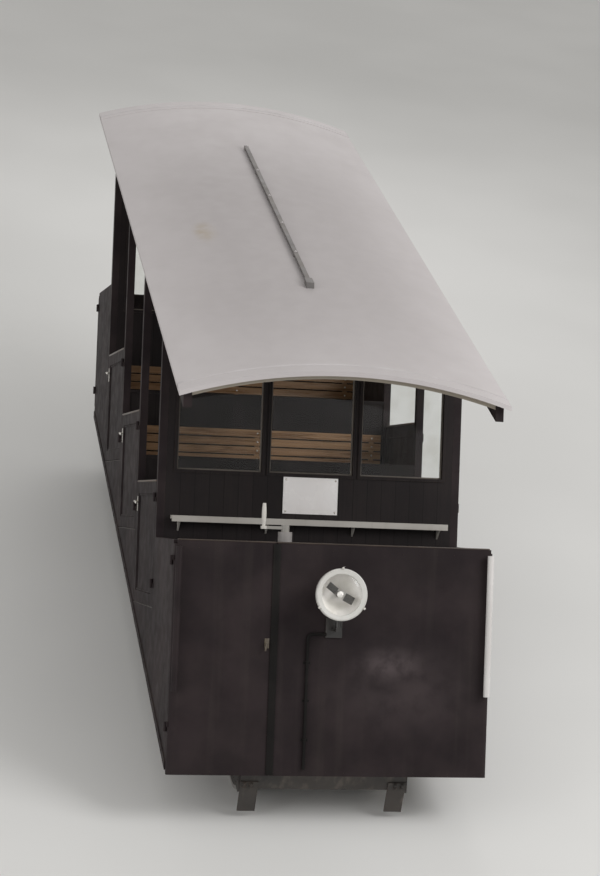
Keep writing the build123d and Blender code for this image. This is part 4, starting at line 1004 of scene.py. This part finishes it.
# Headlamp. A spun steel bowl on a forged stalk, japanned black, with a white bezel that
# three clips hold over the lens. Inside are a white reflector and a bulb on two flat arms.
lamp_black = worn_paint(
    "lamp_black", (0.014, 0.013, 0.013), (0.03, 0.027, 0.025), rough=0.3, dust=0.35,
    streaks=0.1, edges=0.4, bare=(0.12, 0.1, 0.085), bump=0.06
)
dress(lamp_black, "headlamp_body")
enamel = worn_paint(
    "white_enamel", (0.74, 0.73, 0.7), (0.68, 0.665, 0.63), rough=0.22, dust=0.12, streaks=0.12,
    edges=0.45, bare=(0.12, 0.09, 0.075), bump=0.04
)
dress(enamel, "headlamp_bezel")
CLEAR_LENS, FILMED_LENS = (0.96, 0.965, 0.96), (0.86, 0.86, 0.83)
glaze("lens_glass", "headlamp_glass", 1.3, 9.0, 3.0, CLEAR_LENS, FILMED_LENS)

satin_white = worn_paint(
    "satin_reflector", (0.88, 0.86, 0.84), (0.8, 0.77, 0.74), rough=0.35, dust=0.05,
    bare=(0.3, 0.26, 0.2), bump=0.03
)
LAMP_HEIGHT, LAMP_MOUTH, BOWL_BACK, BOWL_RADIUS = 1.7606, -0.2, -0.085, 0.158
bpy.ops.mesh.primitive_uv_sphere_add(
    segments=40, ring_count=24, radius=1, location=on_car(0, LAMP_MOUTH, LAMP_HEIGHT)
)
reflector = bpy.context.object
reflector.rotation_euler = (-GRADE, 0, 0)
reflector.scale = (BOWL_RADIUS, BOWL_BACK - LAMP_MOUTH, BOWL_RADIUS)
settle(reflector, "reflector")
open_up(reflector, lambda face: True)
cut_off(on_car(0, LAMP_MOUTH, LAMP_HEIGHT), DOWNHILL, fill=False)
bpy.ops.mesh.select_all(action="SELECT")
bpy.ops.mesh.flip_normals()
close_up(reflector)
wall = reflector.modifiers.new("sheet", "SOLIDIFY")
wall.thickness = 0.002
wall.offset = -1
bpy.ops.object.modifier_apply(modifier=wall.name)
fit(smooth(reflector, 50), satin_white)

socket_back = on_car(0, BOWL_BACK - 0.004, LAMP_HEIGHT)
holder = rod("holder", socket_back, on_car(0, -0.13, LAMP_HEIGHT), 0.022, 20)
straps = [soften(raise_face(holder, DOWNHILL, 0.006, 0.012), 0.002, 2)]
STRAP_FACE = (-0.168, -0.162)
middle = on_car(0, sum(STRAP_FACE) / 2, LAMP_HEIGHT)
for turn, length, wide in ((143, 0.112, 0.05), (-27, 0.108, 0.058)):
    angle = math.radians(turn)
    spoke = RIGHT * math.cos(angle) + TRUE_UP * math.sin(angle)
    height = (LAMP_HEIGHT - wide / 2, LAMP_HEIGHT + wide / 2)
    arm = board("strap", (0.034, length), STRAP_FACE, height)
    swung = Matrix.Rotation(-angle, 4, UPHILL)
    arm.matrix_world = Matrix.Translation(middle) @ swung @ Matrix.Translation(-middle)
    straps.append(soften(settle(arm, "strap"), 0.002, 2))
    foot = middle + spoke * (length - 0.012)
    straps.append(soften(rod("stay", foot, foot + UPHILL * 0.03, 0.006, 12), 0.001, 1))
fit(weld("bulb_holder", *straps), lamp_black)

BULB, BULB_MIDDLE, BULB_NECK = 0.024, -0.163, -0.142
bulb = ball("bulb", BULB, 24, 16, on_car(0, BULB_MIDDLE, LAMP_HEIGHT))
open_up(bulb, lambda face: True)
cut_off(on_car(0, BULB_NECK, LAMP_HEIGHT), UPHILL)
fit(smooth(close_up(bulb), 50), satin_white)

CLIP_REACH = 0.189
clips = []
for turn in (90, 210, 330):
    angle = math.radians(turn)
    spoke = RIGHT * math.cos(angle) + TRUE_UP * math.sin(angle)
    foot = on_car(0, -0.196, LAMP_HEIGHT) + spoke * CLIP_REACH
    clip = soften(rod("clip", foot, foot + DOWNHILL * 0.03, 0.006, 14), 0.0015, 2)
    screw = rod("screw", foot + DOWNHILL * 0.026, foot + DOWNHILL * 0.037, 0.009, 14)
    clips.extend((clip, soften(screw, 0.002, 2)))
fit(weld("bezel_clips", *clips), plated)

# Hand brakes. A cast column in pale grey paint on each platform, bolted down, with a forged
# crank on its spindle and a white grip of turned beech that runs free on the crank's pin.
column_grey = worn_paint(
    "column_grey", (0.4, 0.375, 0.365), (0.3, 0.28, 0.27), rough=0.45, dust=0.2, streaks=0.15,
    edges=0.5, bare=BARE_IRON
)
dress(column_grey, "brake_columns")
crank_steel = worn_paint(
    "crank_steel", (0.42, 0.41, 0.39), (0.3, 0.285, 0.26), rough=0.38, dust=0.15, streaks=0.1,
    edges=0.3, bare=(0.5, 0.49, 0.47), bump=0.1
)
GRIP_SIDE = -0.471
tree, surface, place = reopen(crank_steel)
sideways = shade(tree, "ShaderNodeSeparateXYZ", {0: place}).outputs[0]
on_grip = span(tree, sideways, GRIP_SIDE, GRIP_SIDE - 0.001)
handled = blend(tree, noise(tree, place, 20.0, 5.0), (0.74, 0.72, 0.68), (0.6, 0.57, 0.52))
paint_over(tree, surface, on_grip, handled)
dress(crank_steel, "brake_cranks")
COLUMN_X, FOOT_BOLTS, FOOT_THICK = -0.33, 0.064, 0.014
column_bolts = []
for along, floor in ((0.25, STEPS[0][2]), (4.99, STEPS[4][2])):
    for over, up in corners(FOOT_BOLTS):
        place = on_car(COLUMN_X + over, along + up, floor + FOOT_THICK)
        column_bolts.append((place, TRUE_UP))
fit(set_out("column_bolts", bolt, column_bolts), column_grey)

# Roof. Boards under stretched canvas, painted pale grey and gone chalky, a darker grey along the
# middle, with ribs of bent ash below and an iron ridge bar along the top.
roof_canvas = worn_paint(
    "roof_canvas", (0.57, 0.537, 0.537), (0.54, 0.507, 0.506), rough=0.8, dust=0.02, edges=0.25,
    bare=(0.33, 0.31, 0.28), bump=0.12, grain=120.0
)
tree, surface, place = reopen(roof_canvas)
faces = tree.nodes.new("ShaderNodeNewGeometry").outputs["Normal"]
where = shade(tree, "ShaderNodeSeparateXYZ", {0: place}).outputs
off_middle = sums(tree, "ABSOLUTE", where[0], clamp=False)
# Darker grey along the middle, fading out towards the eaves and the upper end, and to about half at
# the lower end.
darker_grey = span(tree, off_middle, 1.4, 0.45, 0.0, 0.85)
upper_end, lower_end = span(tree, where[1], 4.9, 2.4), span(tree, where[1], -1.3, 0.2, 0.45, 1.0)
darker_grey = product(tree, darker_grey, upper_end, lower_end)
paint_over(tree, surface, darker_grey, (0.415, 0.386, 0.385))
ROOF_STAIN, STAIN_REACH = (-0.657, 1.665, 3.003), (0.13, 0.3, 0.2)
stain(roof_canvas, ROOF_STAIN, STAIN_REACH, 0.75, (0.4, 0.335, 0.25))

height_part = shade(tree, "ShaderNodeSeparateXYZ", {0: faces}).outputs[2]
under = span(tree, height_part, -0.3, -0.4)
along = lay(tree, place, Rotation=(0, 0, math.radians(90)))
boards = wear(tree, grain_effect, {"Place": along, "Board Width": 0.0935})
ceiling = blend(tree, boards["Grain"], (0.4, 0.35, 0.27), (0.5, 0.45, 0.36))
ceiling = blend(tree, boards["Joint"], ceiling, (0.12, 0.1, 0.075))
paint_over(tree, surface, under, ceiling)
dress(roof_canvas, "roof_sheet")

rib_paint = worn_paint(
    "rib_paint", (0.4, 0.36, 0.3), (0.34, 0.3, 0.25), rough=0.5, bare=(0.2, 0.15, 0.1)
)
dress(rib_paint, "roof_ribs")
ridge_grey = worn_paint(
    "ridge_grey", (0.115, 0.107, 0.105), (0.165, 0.152, 0.148), rough=0.6, dust=0.3,
    streaks=0.1, edges=0.4, bare=BARE_IRON, bump=0.2
)
dress(ridge_grey, "ridge_bar")

# Hem beads. Half round zinc beads nailed over the edge of each hem strip and painted with
# the roof, cut here from the roof's own curve, and bolts that hold the ridge bar down.
zinc = worn_paint(
    "weathered_zinc", (0.56, 0.53, 0.535), (0.48, 0.455, 0.455), rough=0.5, dust=0.2,
    bare=(0.3, 0.29, 0.28)
)
HEM_WIDTH, HEM_RISE = 0.016, 0.003
ROOF_ENDS = (-0.1, 5.34)
hems = []
for low in (ROOF_ENDS[0], ROOF_ENDS[1] - HEM_WIDTH):
    select_only(node["roof_sheet"])
    bpy.ops.object.duplicate()
    hem = bpy.context.object
    open_up(hem, lambda face: True)
    bpy.ops.mesh.remove_doubles(threshold=0.00005)
    for along, outward in ((low, DOWNHILL), (low + HEM_WIDTH, UPHILL)):
        bpy.ops.mesh.select_all(action="SELECT")
        cut_off(on_car(0, along, 3.3 + along * math.tan(GRADE)), outward)
    bpy.ops.mesh.select_all(action="SELECT")
    bpy.ops.transform.translate(value=(0, 0, HEM_RISE))
    close_up(hem)
    hems.append(soften(hem, 0.002, 1))
fit(weld("hem_beads", *hems), zinc)

ROOF_CROWN = 3.2506 + 0.19
RIDGE_TOP = ROOF_CROWN + 0.036
RIDGE_LOW, RIDGE_PITCH, RIDGE_FEET = 1.228, 0.5906, 6
ridge_bolts = []
for count in range(1, RIDGE_FEET):
    along = RIDGE_LOW + count * RIDGE_PITCH
    place = on_car(0, along, RIDGE_TOP + along * math.tan(GRADE))
    ridge_bolts.append((place, SQUARE_UP))
small_bolt = smaller(bolt, "small_bolt", (0.7, 0.7, 0.6))
fit(set_out("ridge_bolts", small_bolt, ridge_bolts), zinc)

# Ceiling lamps. Milk glass globes in turned rings on the middle of the ceiling, one over
# each compartment and platform.
milk, tree, surface, place = new_finish("milk_glass")
cloudy = blend(tree, noise(tree, place, 9.0, 2.0), (0.82, 0.81, 0.78), (0.74, 0.73, 0.69))
feed(tree, surface, {"Base Color": cloudy, "Roughness": 0.18, "Subsurface Weight": 0.2})
GLOBE, ROOF_UNDER = 0.06, ROOF_CROWN - 0.028
globes, rings_under = [], []
for along in (0.42, 1.55, 2.62, 3.72, 4.8):
    foot = on_car(0, along, ROOF_UNDER + along * math.tan(GRADE))
    globe = ball("globe", GLOBE, 28, 16, foot - SQUARE_UP * 0.03)
    open_up(globe, lambda face: True)
    cut_off(foot - SQUARE_UP * 0.022, SQUARE_UP)
    globes.append(smooth(close_up(globe), 50))
    ring_top, ring_foot = foot - SQUARE_UP * 0.001, foot - SQUARE_UP * 0.024
    base = rod("base", ring_top, ring_foot, GLOBE + 0.01, 28)
    rings_under.append(soften(base, 0.004, 2))
fit(weld("lamp_globes", *globes), milk)
fit(weld("lamp_rings", *rings_under), plated)

for pattern in (rivet, bolt, small_bolt, turn_button, small_screw):
    bpy.data.objects.remove(pattern)
